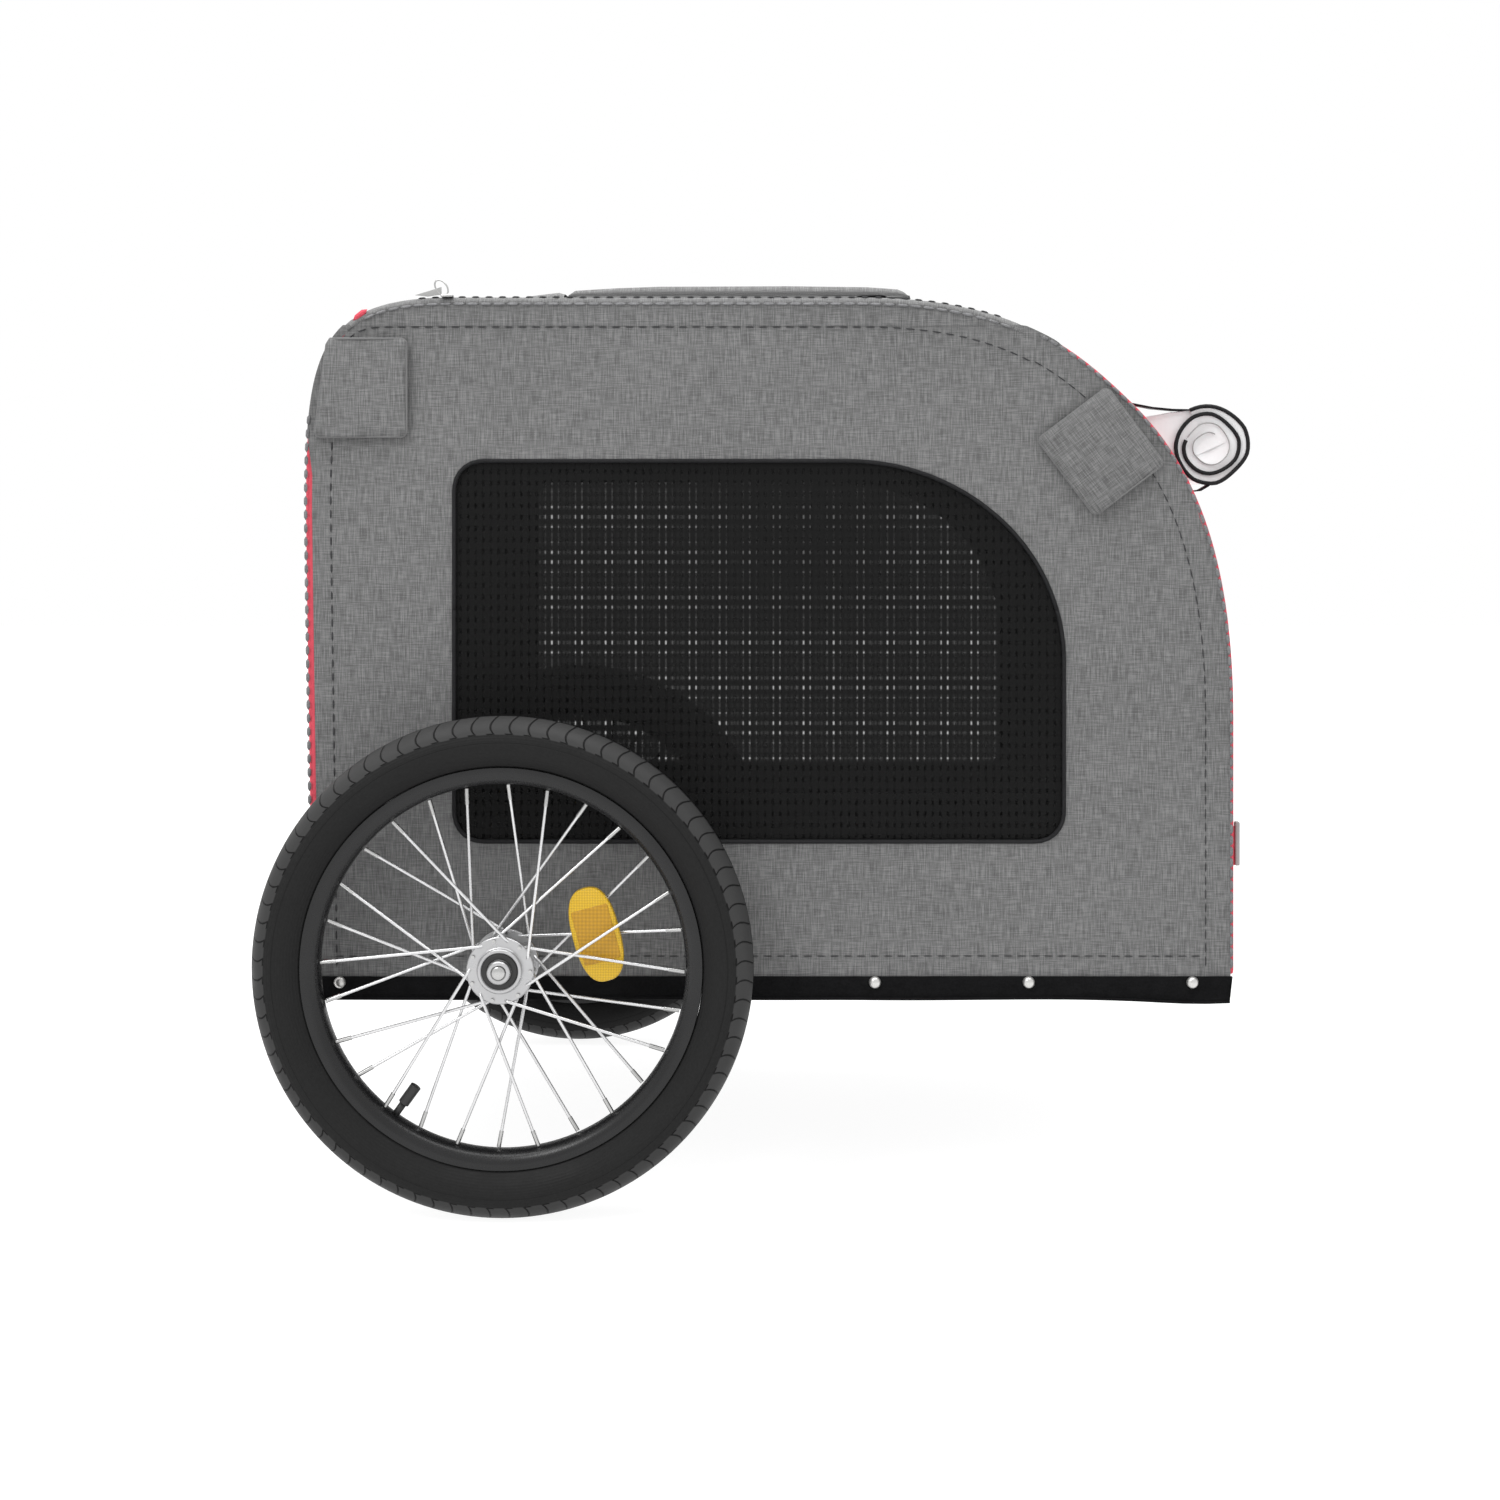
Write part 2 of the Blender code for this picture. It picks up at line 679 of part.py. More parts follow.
def build_roof():
    add_axis("roof_axis", (0, HINGE_Y, ROOF_HINGE_Z), "left_knee_axis")
    add_part(roof_frame(), "frame_steel", "roof_axis")
    add_part(roof_panel(), "grey_fabric", "roof_axis")
    add_axis("hatch_axis", (x_at(HATCH_REAR), 0, HATCH_BOTTOM - 0.0005), "roof_axis")
    add_part(roof_hatch(), "grey_fabric", "hatch_axis")
    pull_start = (x_at(ZIP_PULL_AT[0]), *ZIP_PULL_AT[1:])
    add_axis("roof_zip_axis", pull_start, "roof_axis")
    add_part(zip_pull_loop(pull_start), "bright_steel", "roof_zip_axis")


# ---- doors ----
def door_strip(end, low, high, outer, inner):
    """Closed outline of a sheet that follows the cabin's rear or front edge."""
    return edge_run(end, low, high, outer) + edge_run(end, low, high, inner)[::-1]


def build_door(end, shape):
    """Red door that follows the cabin's end, with its mesh window, hinged at the floor."""
    axis = f"{end}_door_axis"
    add_axis(axis, (x_at(shape["hinge"]), 0, DOOR_HINGE_Z))
    low, high = shape["window"]
    half, window_half = DOOR_HALF_WIDTH, DOOR_WINDOW_HALF_WIDTH
    door = plate(f"{end}_door", door_strip(end, DOOR_BOTTOM, DOOR_TOP, 0.0, DOOR_CLOTH), -half, half)
    opening = plate(
        f"{end}_door_opening", door_strip(end, low - GAP, high + GAP, -0.01, DOOR_CLOTH + 0.01),
        -window_half - GAP, window_half + GAP,
    )
    add_part(cut(door, opening), "red_fabric", axis)
    sink = (DOOR_CLOTH - MESH_CLOTH) / 2
    outline = door_strip(end, low, high, sink, sink + MESH_CLOTH)
    add_part(plate(f"{end}_door_mesh", outline, -window_half, window_half), "black_mesh", axis)


def build_doors():
    build_door("rear", REAR_DOOR)
    build_door("front", FRONT_DOOR)
    roll_ends = [(x_at(ROLL_STATION), y, ROLL_Z) for y in (-ROLL_HALF_LENGTH, ROLL_HALF_LENGTH)]
    add_part(rod("rain_cover_roll", *roll_ends, ROLL_RADIUS, sides=24), "clear_vinyl", "front_door_axis")
    x, half = x_at(FRONT_PULL_STATION), FRONT_PULL_THICKNESS / 2
    add_axis("front_zip_axis", (x, sum(FRONT_PULL_Y) / 2, FRONT_PULL_Z[1] - half / 3), "front_door_axis")
    pull = box(
        "front_zip_pull", (x - half, FRONT_PULL_Y[0], FRONT_PULL_Z[0]),
        (x + half, FRONT_PULL_Y[1], FRONT_PULL_Z[1]), bevel=half / 2,
    )
    add_part(pull, "black_plastic", "front_zip_axis")


# ---- wheels ----
def tyre_profile():
    """Hollow tyre section, open towards the rim."""
    outer = [
        (0.1594, 0.011), (0.170, 0.0195), (0.180, 0.022), (0.190, 0.0185), (0.1965, 0.010), (WHEEL_RADIUS, 0),
    ]
    inner = [
        (0.1594, 0.008), (0.171, 0.0165), (0.180, 0.0185), (0.188, 0.0155), (0.193, 0.008), (0.1952, 0),
    ]
    return outer + other_half(outer[:-1]) + [(r, -w) for r, w in inner] + inner[-2::-1]


def rim_profile():
    """Single-wall rim channel, open towards the tyre."""
    outer = [(0.145, 0.005), (0.1475, 0.0095), (0.1515, 0.0128), (0.159, 0.0128)]
    inner = [(0.159, 0.0108), (0.1525, 0.0108), (0.149, 0.0085), (0.1475, 0.005)]
    return other_half(inner) + other_half(outer) + outer + inner


def other_half(half):
    """The mirrored run of a section's half, in the order that carries on from the half's last point."""
    return [(r, -w) for r, w in half[::-1]]


def hub_profile():
    """Hub shell with its two flanges, bored for the bearings."""
    half = [
        (0.0140, 0.0215), (0.0175, 0.0215), (0.0175, 0.0182),
        (0.0266, 0.0180), (0.0266, 0.0150), (0.0150, 0.0130),
    ]
    return half + other_half(half)


def bearing_profile():
    """Two bearings with the spacer sleeve between them."""
    half = [(0.0063, 0.0208), (0.0137, 0.0208), (0.0137, 0.0128), (0.0085, 0.0128)]
    return half + other_half(half)


def axle_profile():
    """Axle rod with a head outside the hub, recessed for the button, and a collar inside it."""
    head = [
        (0.0, 0.0238), (0.0058, 0.0238), (0.0058, 0.0272),
        (0.0092, 0.0272), (0.0092, 0.0215), (0.0060, 0.0215),
    ]
    collar = [(0.0060, -0.0220), (0.0100, -0.0220), (0.0100, -0.0335), (0.0060, -0.0335)]
    return head + collar + [(0.0060, -0.1120), (0.0, -0.1140)]


def button_profile():
    """Domed push button in the axle's head."""
    return [(0.0, 0.0295), (0.0045, 0.0290), (0.0053, 0.0280), (0.0053, 0.0262), (0.0, 0.0262)]


def spoke(name, centre, side, flange, number):
    """Straight spoke from its hole in a flange, across its neighbours, to just inside the rim."""
    pitch = math.tau / SPOKES_PER_FLANGE
    hole = FIRST_SPOKE + (number + (0.5 if flange < 0 else 0.0)) * pitch
    trail = -1 if number % 2 else 1
    seat = FLANGE_MIDDLE + SPOKE_STAGGER * trail
    tip_angle = hole + 2 * pitch * trail
    ends = []
    seat_end, rim_end = (SPOKE_HOLE_RADIUS, hole, seat), (SPOKE_TIP_RADIUS, tip_angle, SPOKE_TIP_WIDTH)
    for radius, angle, width in (seat_end, rim_end):
        ends.append((
            centre[0] + radius * math.cos(angle), centre[1] + side * flange * width,
            centre[2] + radius * math.sin(angle),
        ))
    return rod(name, *ends, SPOKE_RADIUS, sides=4)


def hub_with_spokes(label, side, centre):
    """Hub shell and its spokes, as one solid."""
    hub = turned(f"hub_{label}", hub_profile(), centre, side, 20)
    for flange in (1, -1):
        for number in range(SPOKES_PER_FLANGE):
            join(hub, spoke(f"spoke_{label}_{flange}_{number}", centre, side, flange, number))
    return hub


def build_wheel(label, side):
    centre = (x_at(AXLE_STATION), side * WHEEL_Y, WHEEL_RADIUS)
    pull, spin, press = f"axle_{label}_axis", f"wheel_{label}_axis", f"button_{label}_axis"
    add_axis(pull, centre)
    add_axis(spin, centre, pull)
    add_axis(press, centre, pull)
    add_part(turned(f"tyre_{label}", tyre_profile(), centre, side, 36), "tyre_rubber", spin)
    add_part(turned(f"rim_{label}", rim_profile(), centre, side, 36), "rim_black", spin)
    add_part(hub_with_spokes(label, side, centre), "bright_steel", spin)
    add_part(turned(f"bearings_{label}", bearing_profile(), centre, side, 16), "bright_steel", spin)
    middle = (
        AXLE_STATION + REFLECTOR_REACH * math.cos(REFLECTOR_ANGLE),
        WHEEL_RADIUS + REFLECTOR_REACH * math.sin(REFLECTOR_ANGLE),
    )
    y_low, y_high = centre[1] - REFLECTOR_HALF_THICKNESS, centre[1] + REFLECTOR_HALF_THICKNESS
    outline = capsule(middle, *REFLECTOR_SIZE, REFLECTOR_TILT)
    add_part(plate(f"reflector_{label}", outline, y_low, y_high), "amber", spin)
    add_part(turned(f"axle_{label}", axle_profile(), centre, side, 16, closed=False), "bright_steel", pull)
    button = turned(f"axle_button_{label}", button_profile(), centre, side, 16, closed=False)
    add_part(button, "bright_steel", press)


# ---- drawbar ----
def drawbar_bracket(x, y):
    """Plate under the floor frame with the pivot bolt that the drawbar's eye turns on."""
    plate_bottom = DRAWBAR_Z + EYE_HALF_HEIGHT - 0.0008
    low, high = (x - 0.034, y - 0.024, plate_bottom), (x + 0.014, y + 0.024, 0.1625)
    bracket = box("drawbar_bracket", low, high, bevel=0.001)
    bolt_bottom = DRAWBAR_Z - EYE_HALF_HEIGHT - 0.003
    bolt = rod("bracket_bolt", (x, y, bolt_bottom), (x, y, plate_bottom + 0.004), BOLT_RADIUS)
    head_ends = [(x, y, bolt_bottom - 0.005), (x, y, bolt_bottom + 0.0005)]
    head = rod("bolt_head", *head_ends, BOLT_RADIUS + 0.004, sides=6)
    return join(bracket, bolt, head)


def drawbar(x, y, plunger_x):
    """Arm with an eye on the bracket's bolt and a bore for the locking plunger."""
    arm = rod("drawbar", (x - 0.010, y, DRAWBAR_Z), (x - DRAWBAR_REACH, y, DRAWBAR_Z), DRAWBAR_RADIUS)
    eye_top, eye_bottom = DRAWBAR_Z + EYE_HALF_HEIGHT - 0.0012, DRAWBAR_Z - EYE_HALF_HEIGHT - 0.0015
    join(arm, rod("drawbar_eye", (x, y, eye_bottom), (x, y, eye_top), EYE_RADIUS, sides=16))
    for name, bore_x, radius in (("eye_bore", x, BOLT_RADIUS), ("plunger_bore", plunger_x, PLUNGER_RADIUS)):
        bore_ends = [(bore_x, y, DRAWBAR_Z - 0.04), (bore_x, y, DRAWBAR_Z + 0.03)]
        cut(arm, rod(name, *bore_ends, radius + BORE_CLEARANCE, sides=16))
    return arm


def drawbar_plunger(x, y):
    pin = rod("drawbar_plunger", (x, y, DRAWBAR_Z - 0.024), (x, y, DRAWBAR_Z + 0.0128), PLUNGER_RADIUS)
    knob = rod("plunger_knob", (x, y, DRAWBAR_Z - 0.030), (x, y, DRAWBAR_Z - 0.0145), 0.0075)
    return join(pin, knob)


def hitch_coupler(tip, pin_x, y):
    """Fork with a slot for the bicycle's hitch ear and a hole for its pin."""
    low = (tip - COUPLER_LENGTH, y - COUPLER_HALF_WIDTH, DRAWBAR_Z - COUPLER_HALF_HEIGHT)
    high = (tip - GAP, y + COUPLER_HALF_WIDTH, DRAWBAR_Z + COUPLER_HALF_HEIGHT)
    coupler = box("hitch_coupler", low, high, bevel=0.002)
    slot = box(
        "hitch_slot", (tip - COUPLER_LENGTH - 0.01, y - 0.020, DRAWBAR_Z - COUPLER_SLOT_HALF_HEIGHT),
        (tip - 0.014, y + 0.020, DRAWBAR_Z + COUPLER_SLOT_HALF_HEIGHT),
    )
    bore = rod("pin_bore", (pin_x, y, DRAWBAR_Z - 0.03), (pin_x, y, DRAWBAR_Z + 0.03), PIN_RADIUS + 0.0005)
    return cut(coupler, slot, bore)


def hitch_pin(x, y):
    shank = rod("hitch_pin", (x, y, DRAWBAR_Z - 0.019), (x, y, DRAWBAR_Z + 0.014), PIN_RADIUS)
    head = rod("hitch_pin_head", (x, y, DRAWBAR_Z - 0.0165), (x, y, DRAWBAR_Z - 0.0125), 0.0075)
    return join(shank, head)


def build_drawbar():
    """Drawbar stowed along the left rail; it swings forward about its bolt."""
    x, y, z = x_at(DRAWBAR_STATION), DRAWBAR_Y, DRAWBAR_Z
    plunger_x = x - PLUNGER_SETBACK
    tip = x - DRAWBAR_REACH
    pin_x = tip - PIN_SETBACK
    add_axis("drawbar_axis", (x, y, z))
    add_axis("plunger_axis", (plunger_x, y, z), "drawbar_axis")
    add_axis("hitch_axis", (tip, y, z), "drawbar_axis")
    add_axis("hitch_pin_axis", (pin_x, y, z), "hitch_axis")
    add_part(drawbar_bracket(x, y), "frame_steel")
    add_part(drawbar(x, y, plunger_x), "frame_steel", "drawbar_axis")
    add_part(drawbar_plunger(plunger_x, y), "bright_steel", "plunger_axis")
    add_part(hitch_coupler(tip, pin_x, y), "bright_steel", "hitch_axis")
    add_part(hitch_pin(pin_x, y), "bright_steel", "hitch_pin_axis")


build_floor()
build_sides()
build_roof()
build_doors()
for wheel_label, wheel_side in SIDES.items():
    build_wheel(wheel_label, wheel_side)
build_drawbar()
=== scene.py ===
"""Bicycle trailer with a folding fabric cabin: its visible surfaces, on the frame of its CAD model.

Metres, +X forward, +Y to the left, +Z up, ground at z = 0. Places along the trailer are stations:
distances ahead of the rear face of the cabin. REAR_X turns a station into x.
"""

import json
import math

import bmesh
import bpy
import numpy as np
from mathutils import Matrix, Vector, noise
from mathutils.geometry import delaunay_2d_cdt

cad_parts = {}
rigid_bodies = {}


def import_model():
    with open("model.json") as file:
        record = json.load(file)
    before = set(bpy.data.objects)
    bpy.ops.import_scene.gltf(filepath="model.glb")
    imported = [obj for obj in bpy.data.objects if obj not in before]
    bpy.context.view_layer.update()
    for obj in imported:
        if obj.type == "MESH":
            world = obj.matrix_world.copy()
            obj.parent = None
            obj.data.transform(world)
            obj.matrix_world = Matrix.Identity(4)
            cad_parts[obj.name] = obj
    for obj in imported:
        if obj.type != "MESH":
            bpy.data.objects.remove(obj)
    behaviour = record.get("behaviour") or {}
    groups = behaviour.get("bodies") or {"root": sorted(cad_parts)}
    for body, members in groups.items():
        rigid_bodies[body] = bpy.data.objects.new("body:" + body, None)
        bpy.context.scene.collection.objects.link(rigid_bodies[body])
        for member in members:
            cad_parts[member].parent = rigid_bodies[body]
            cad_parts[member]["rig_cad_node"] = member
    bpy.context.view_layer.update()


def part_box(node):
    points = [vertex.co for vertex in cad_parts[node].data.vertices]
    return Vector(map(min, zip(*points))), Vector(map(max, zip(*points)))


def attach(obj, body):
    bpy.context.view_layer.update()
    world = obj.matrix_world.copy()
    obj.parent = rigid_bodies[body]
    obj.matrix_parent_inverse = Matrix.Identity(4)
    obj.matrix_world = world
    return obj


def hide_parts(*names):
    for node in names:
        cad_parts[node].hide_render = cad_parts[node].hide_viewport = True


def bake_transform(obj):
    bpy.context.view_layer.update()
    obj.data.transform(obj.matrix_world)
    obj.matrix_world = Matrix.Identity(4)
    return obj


for leftover in list(bpy.data.objects):
    bpy.data.objects.remove(leftover, do_unlink=True)
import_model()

SIDES = {"left": 1, "right": -1}
AXLE_STATION = 0.170
tyre_low, tyre_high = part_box("tyre_right")
WHEEL_CENTRE = (Vector(tyre_low) + Vector(tyre_high)) / 2
WHEEL_RADIUS = WHEEL_CENTRE.z
WHEEL_Y = abs(WHEEL_CENTRE.y)
REAR_X = WHEEL_CENTRE.x - AXLE_STATION
BODY_LENGTH, ROOF_TOP, SIDE_Y = 0.7602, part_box("roof_panel")[1][2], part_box("roof_panel")[1][1]
BODY_BOTTOM, SKIRT_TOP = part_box("skirt_right")[0][2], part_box("skirt_right")[1][2]
SILL_Z, KNEE_Z, ROOF_Z = 0.258, 0.479, 0.712
WINDOW_REAR, WINDOW_FRONT, WINDOW_BOTTOM, WINDOW_TOP = 0.1238, 0.620, 0.291, 0.600
WINDOW_CORNER, WINDOW_CURVE = 0.022, (0.176, 0.162)
REAR_INSET, FRONT_INSET = 0.0062, 0.0030
STITCH_PERIOD = 0.011
COVER_THICKNESS = 0.0014
SIDE_SINK = 0.0007  # how far the side covers lie inside the CAD side
TAB_PROUD = 0.0078  # how far the corner tabs stand off the side covers
HATCH_OPENING, HATCH_OPENING_WIDTH = (0.2345, 0.4745), 0.350
RED_EDGE_TOP, RED_EDGE_FADE = 0.590, 0.035  # where the rear red strip starts to end, and over what height
FRONT_EDGE_TOP, FRONT_EDGE_FADE = 0.688, 0.010
ZIP_Y, DOOR_STITCH_Y = 0.222, 0.2375
AXLE_HOLE = 0.0125
DOOR_HALF, SKIRT_HALF = 0.2440, 0.2415
SKIRT_ENDS = {"rear": 0.0062, "front": 0.7558}
RIVETS, RIVET_Z = (0.030, 0.160, 0.3405, 0.4665, 0.592, 0.7255), 0.1755
SPOKES_PER_FLANGE, SPOKE_CROSSING, FIRST_SPOKE = 14, 2, math.radians(178.5)
FLANGE_RADIUS, RIM_SEAT, SPOKE_RADIUS, NIPPLE_RADIUS = 0.0240, 0.1440, 0.0013, 0.0018
VALVE_TURN = math.radians(234)
MIDDLE = Vector((REAR_X + BODY_LENGTH / 2, 0, 0.45))


# ---- materials ----
class Graph:
    """A node material under construction."""

    def __init__(self, name):
        self.material = bpy.data.materials.new(name)
        self.material.use_nodes = True
        self.tree = self.material.node_tree
        self.tree.nodes.clear()
        coordinates = self.add("ShaderNodeTexCoord")
        self.uv, self.place = coordinates.outputs["UV"], coordinates.outputs["Object"]

    def add(self, kind, inputs=(), **settings):
        made = self.tree.nodes.new(kind)
        for key, value in settings.items():
            setattr(made, key, value)
        for key, value in dict(inputs).items():
            if isinstance(value, bpy.types.NodeSocket):
                self.tree.links.new(value, made.inputs[key])
            else:
                made.inputs[key].default_value = value
        return made

    def calc(self, operation, a, b=0.0, c=0.0):
        return self.add("ShaderNodeMath", {0: a, 1: b, 2: c}, operation=operation).outputs[0]

    def times(self, a, b):
        return self.calc("MULTIPLY", a, b)

    def times_plus(self, a, b, c):
        return self.calc("MULTIPLY_ADD", a, b, c)

    def minus(self, a, b):
        return self.calc("SUBTRACT", a, b)

    def wave(self, value, period):
        return self.calc("SINE", self.times(value, math.tau / period))

    def off(self, value, middle):
        """Distance of a value from a middle value."""
        return self.calc("ABSOLUTE", self.minus(value, middle))

    def axes(self, vector):
        return self.add("ShaderNodeSeparateXYZ", {0: vector}).outputs

    def wheel_radius(self):
        """Distance from the wheel's axis, with the place on its plane."""
        x, y, z = self.axes(self.place)
        return self.calc("SQRT", self.times_plus(x, x, self.times(z, z))), x, y, z

    def noise(self, vector, scale, detail=2.0, roughness=0.5):
        """Noise stretched by a scale for each axis, or one scale for all."""
        scale = scale if hasattr(scale, "__len__") else (scale, scale, scale)
        mapped = self.add("ShaderNodeMapping", {"Vector": vector, "Scale": scale})
        inputs = {"Vector": mapped.outputs[0], "Scale": 1.0, "Detail": detail, "Roughness": roughness}
        return self.add("ShaderNodeTexNoise", inputs).outputs["Fac"]

    def ramp(self, value, *stops):
        made = self.add("ShaderNodeValToRGB", {"Fac": value})
        while len(made.color_ramp.elements) < len(stops):
            made.color_ramp.elements.new(0.5)
        for element, (position, colour) in zip(made.color_ramp.elements, stops):
            element.position = position
            element.color = (*colour, 1) if hasattr(colour, "__len__") else (colour, colour, colour, 1)
        return made.outputs["Color"]

    def span(self, value, low, high, first=0.0, last=1.0):
        """Smooth step from first to last as value goes from low to high."""
        inputs = {"Value": value, "From Min": low, "From Max": high, "To Min": first, "To Max": last}
        return self.add("ShaderNodeMapRange", inputs, interpolation_type="SMOOTHSTEP").outputs[0]

    def bump(self, height, distance, strength=1.0, below=None):
        inputs = {"Height": height, "Distance": distance, "Strength": strength}
        if below is not None:
            inputs["Normal"] = below
        return self.add("ShaderNodeBump", inputs).outputs[0]

    def surface(self, colour, roughness, **more):
        inputs = {"Base Color": colour, "Roughness": roughness}
        names = {"metallic": "Metallic", "normal": "Normal", "sheen": "Sheen Weight", "coat": "Coat Weight",
                 "specular": "Specular IOR Level"}
        inputs.update({names[key]: value for key, value in more.items()})
        return self.add("ShaderNodeBsdfPrincipled", inputs).outputs[0]

    def finish(self, shader):
        self.add("ShaderNodeOutputMaterial", {"Surface": shader})
        return self.material


def weave(graph, pitch):
    """Height of a plain weave, from UV in metres."""
    across, along, _ = graph.axes(graph.uv)
    return graph.times(graph.wave(across, pitch), graph.wave(along, pitch))


def melange(name, dark, middle, light):
    """Woven cloth with light and dark threads that run both ways."""
    graph = Graph(name)
    warp = graph.noise(graph.uv, (1050, 62, 1), 2.0)
    weft = graph.noise(graph.uv, (70, 1050, 1), 2.0)
    grain = graph.noise(graph.uv, (1300, 1300, 1), 1.0)
    cloud = graph.noise(graph.uv, (9, 9, 1), 2.0)
    mixed = graph.times_plus(warp, 0.46, graph.times(weft, 0.36))
    mixed = graph.times_plus(grain, 0.12, graph.times_plus(cloud, 0.06, mixed))
    colour = graph.ramp(mixed, (0.39, dark), (0.5, middle), (0.62, light))
    height = graph.times_plus(mixed, 1.5, weave(graph, 0.00095))
    normal = graph.bump(height, 0.00012, 0.75)
    folds = graph.noise(graph.uv, (14, 14, 1), 2.0)
    normal = graph.bump(folds, 0.0025, 0.35, normal)
    return graph.finish(graph.surface(colour, 0.92, sheen=0.15, normal=normal, specular=0.25))


def plain_cloth(name, colour, spread=0.12, pitch=0.0011, roughness=0.85, specular=0.2):
    """One-colour woven cloth or webbing, shaded in object space."""
    graph = Graph(name)
    speck = graph.noise(graph.place, 700, 2.0)
    streak = graph.noise(graph.place, 90, 3.0)
    mixed = graph.times_plus(speck, 0.65, graph.times(streak, 0.35))
    low, high = (tuple(c * (1 + sign * spread * 2) for c in colour) for sign in (-1, 1))
    tint = graph.ramp(mixed, (0.3, low), (0.7, high))
    x, _, z = graph.axes(graph.place)
    height = graph.times_plus(speck, 0.8, graph.times(graph.wave(x, pitch), graph.wave(z, pitch)))
    normal = graph.bump(height, 0.00015, 0.8)
    return graph.finish(graph.surface(tint, roughness, normal=normal, specular=specular))


def window_mesh():
    """Black knitted mesh with a lattice of small holes, and a painted shade: a soft patch where it lets less
    light through.
    """
    graph = Graph("window_mesh")
    across, along, _ = graph.axes(graph.uv)
    holes = []
    for value, pitch, near, far in ((across, 0.00623, 0.0005, 0.0014), (along, 0.00933, 0.0012, 0.0027)):
        cell = graph.calc("FRACT", graph.calc("DIVIDE", value, pitch))
        away = graph.times(graph.off(cell, 0.5), pitch)
        holes.append(graph.span(away, near, far, 1.0, 0.0))
    both = graph.times(*holes)
    clear = graph.times_plus(both, 0.50, 0.016)
    clear = graph.times_plus(holes[0], 0.035, clear)
    clear = graph.times_plus(holes[1], 0.025, clear)
    # Painted shade: the mesh lets less light through in a soft patch round station 0.405, height 0.560.
    ahead, above = graph.minus(across, 0.405), graph.minus(along, 0.560)
    painted_shade_spot = graph.times_plus(ahead, ahead, graph.times(above, above))
    clear = graph.times(clear, graph.span(graph.calc("SQRT", painted_shade_spot), 0.02, 0.15, 0.55, 1.0))
    knit = graph.noise(graph.uv, (900, 900, 1), 1.0)
    thread = graph.ramp(knit, (0.3, 0.0055), (0.7, 0.0085))
    normal = graph.bump(knit, 0.0002, 0.3)
    cloth = graph.surface(thread, 0.7, normal=normal, specular=0.08)
    gap = graph.add("ShaderNodeBsdfTransparent", {"Color": (1, 1, 1, 1)}).outputs[0]
    return graph.finish(graph.add("ShaderNodeMixShader", {0: clear, 1: cloth, 2: gap}).outputs[0])


def film():
    """Clear rain cover film, a little milky, with smudges."""
    graph = Graph("rain_cover_film")
    smudge = graph.noise(graph.place, (30, 12, 30), 4.0)
    crease = graph.noise(graph.place, (110, 14, 110), 3.0)
    tint = graph.ramp(smudge, (0.36, (0.55, 0.56, 0.57)), (0.50, (0.93, 0.93, 0.94)))
    normal = graph.bump(crease, 0.004, 0.6)
    milky = graph.surface(tint, 0.22, normal=normal, coat=0.4, specular=0.6)
    clear = graph.add("ShaderNodeBsdfTransparent", {"Color": (0.93, 0.94, 0.95, 1)}).outputs[0]
    share = graph.span(smudge, 0.3, 0.7, 0.20, 0.05)
    return graph.finish(graph.add("ShaderNodeMixShader", {0: share, 1: milky, 2: clear}).outputs[0])


def rubber():
    """Tyre: smooth sidewall with fine rings, siped tread, in the wheel's own coordinates. The tread band
    carries a painted sheen and the grooves a painted shade.
    """
    graph = Graph("tyre_rubber")
    radius, x, y, z = graph.wheel_radius()
    turn = graph.calc("ARCTAN2", z, x)
    reach = graph.minus(radius, 0.1915)
    bend = graph.times(graph.times(reach, reach), 480.0)
    tooth = graph.calc("FRACT", graph.times(graph.calc("ADD", turn, bend), 80 / math.tau))
    groove = graph.span(graph.off(tooth, 0.5), 0.02, 0.065, 1.0, 0.0)
    tread = graph.span(radius, 0.1852, 0.1862)
    groove = graph.times(groove, tread)
    centre = graph.span(graph.calc("ABSOLUTE", y), 0.0012, 0.002, 1.0, 0.0)
    groove = graph.calc("MAXIMUM", groove, graph.times(centre, tread))
    ledge = graph.span(graph.off(radius, 0.1858), 0.0003, 0.0008, 1.0, 0.0)
    hook = graph.times(graph.span(tooth, 0.50, 0.54), graph.span(tooth, 0.86, 0.92, 1.0, 0.0))
    groove = graph.calc("MAXIMUM", groove, graph.times(hook, ledge))
    shelf = graph.span(graph.off(radius, 0.1790), 0.0002, 0.0006, 0.5, 0.0)
    groove = graph.calc("MAXIMUM", groove, shelf)
    rings = graph.times(graph.wave(radius, 0.0021), graph.minus(1.0, tread))
    grain = graph.noise(graph.place, 500, 3.0)
    dust = graph.noise(graph.place, 25, 3.0)
    shade = graph.times_plus(grain, 0.5, graph.times(dust, 0.5))
    tint = graph.ramp(shade, (0.3, 0.007), (0.7, 0.013))
    # Painted sheen: the tread band is tinted lighter than the sidewall. Painted shade: the grooves, which are
    # only bumps, are tinted near black.
    for share, grey in ((tread, 0.036), (groove, 0.003)):
        tint = graph.add("ShaderNodeMix", {0: share, 6: tint, 7: (grey, grey, grey, 1)}, data_type="RGBA")
        tint = tint.outputs[2]
    normal = graph.bump(graph.minus(1.0, groove), 0.0009, 0.9)
    normal = graph.bump(rings, 0.00008, 0.6, normal)
    normal = graph.bump(grain, 0.00015, 0.5, normal)
    roughness = graph.span(dust, 0.3, 0.7, 0.5, 0.68)
    return graph.finish(graph.surface(tint, roughness, normal=normal, specular=0.16))


def coated(name, colour, roughness, metallic=0.0, grain=420, depth=0.00006, wear=0.25, **more):
    """Painted, moulded or plated surface with fine texture, in object space."""
    graph = Graph(name)
    fine = graph.noise(graph.place, grain, 3.0)
    broad = graph.noise(graph.place, 22, 3.0)
    low, high = (tuple(c * (1 + sign * wear) for c in colour) for sign in (-1, 1))
    tint = graph.ramp(broad, (0.3, low), (0.7, high))
    rough = graph.span(fine, 0.3, 0.7, max(roughness - 0.07, 0.02), roughness + 0.07)
    normal = graph.bump(fine, depth, 0.6)
    return graph.finish(graph.surface(tint, rough, metallic=metallic, normal=normal, **more))


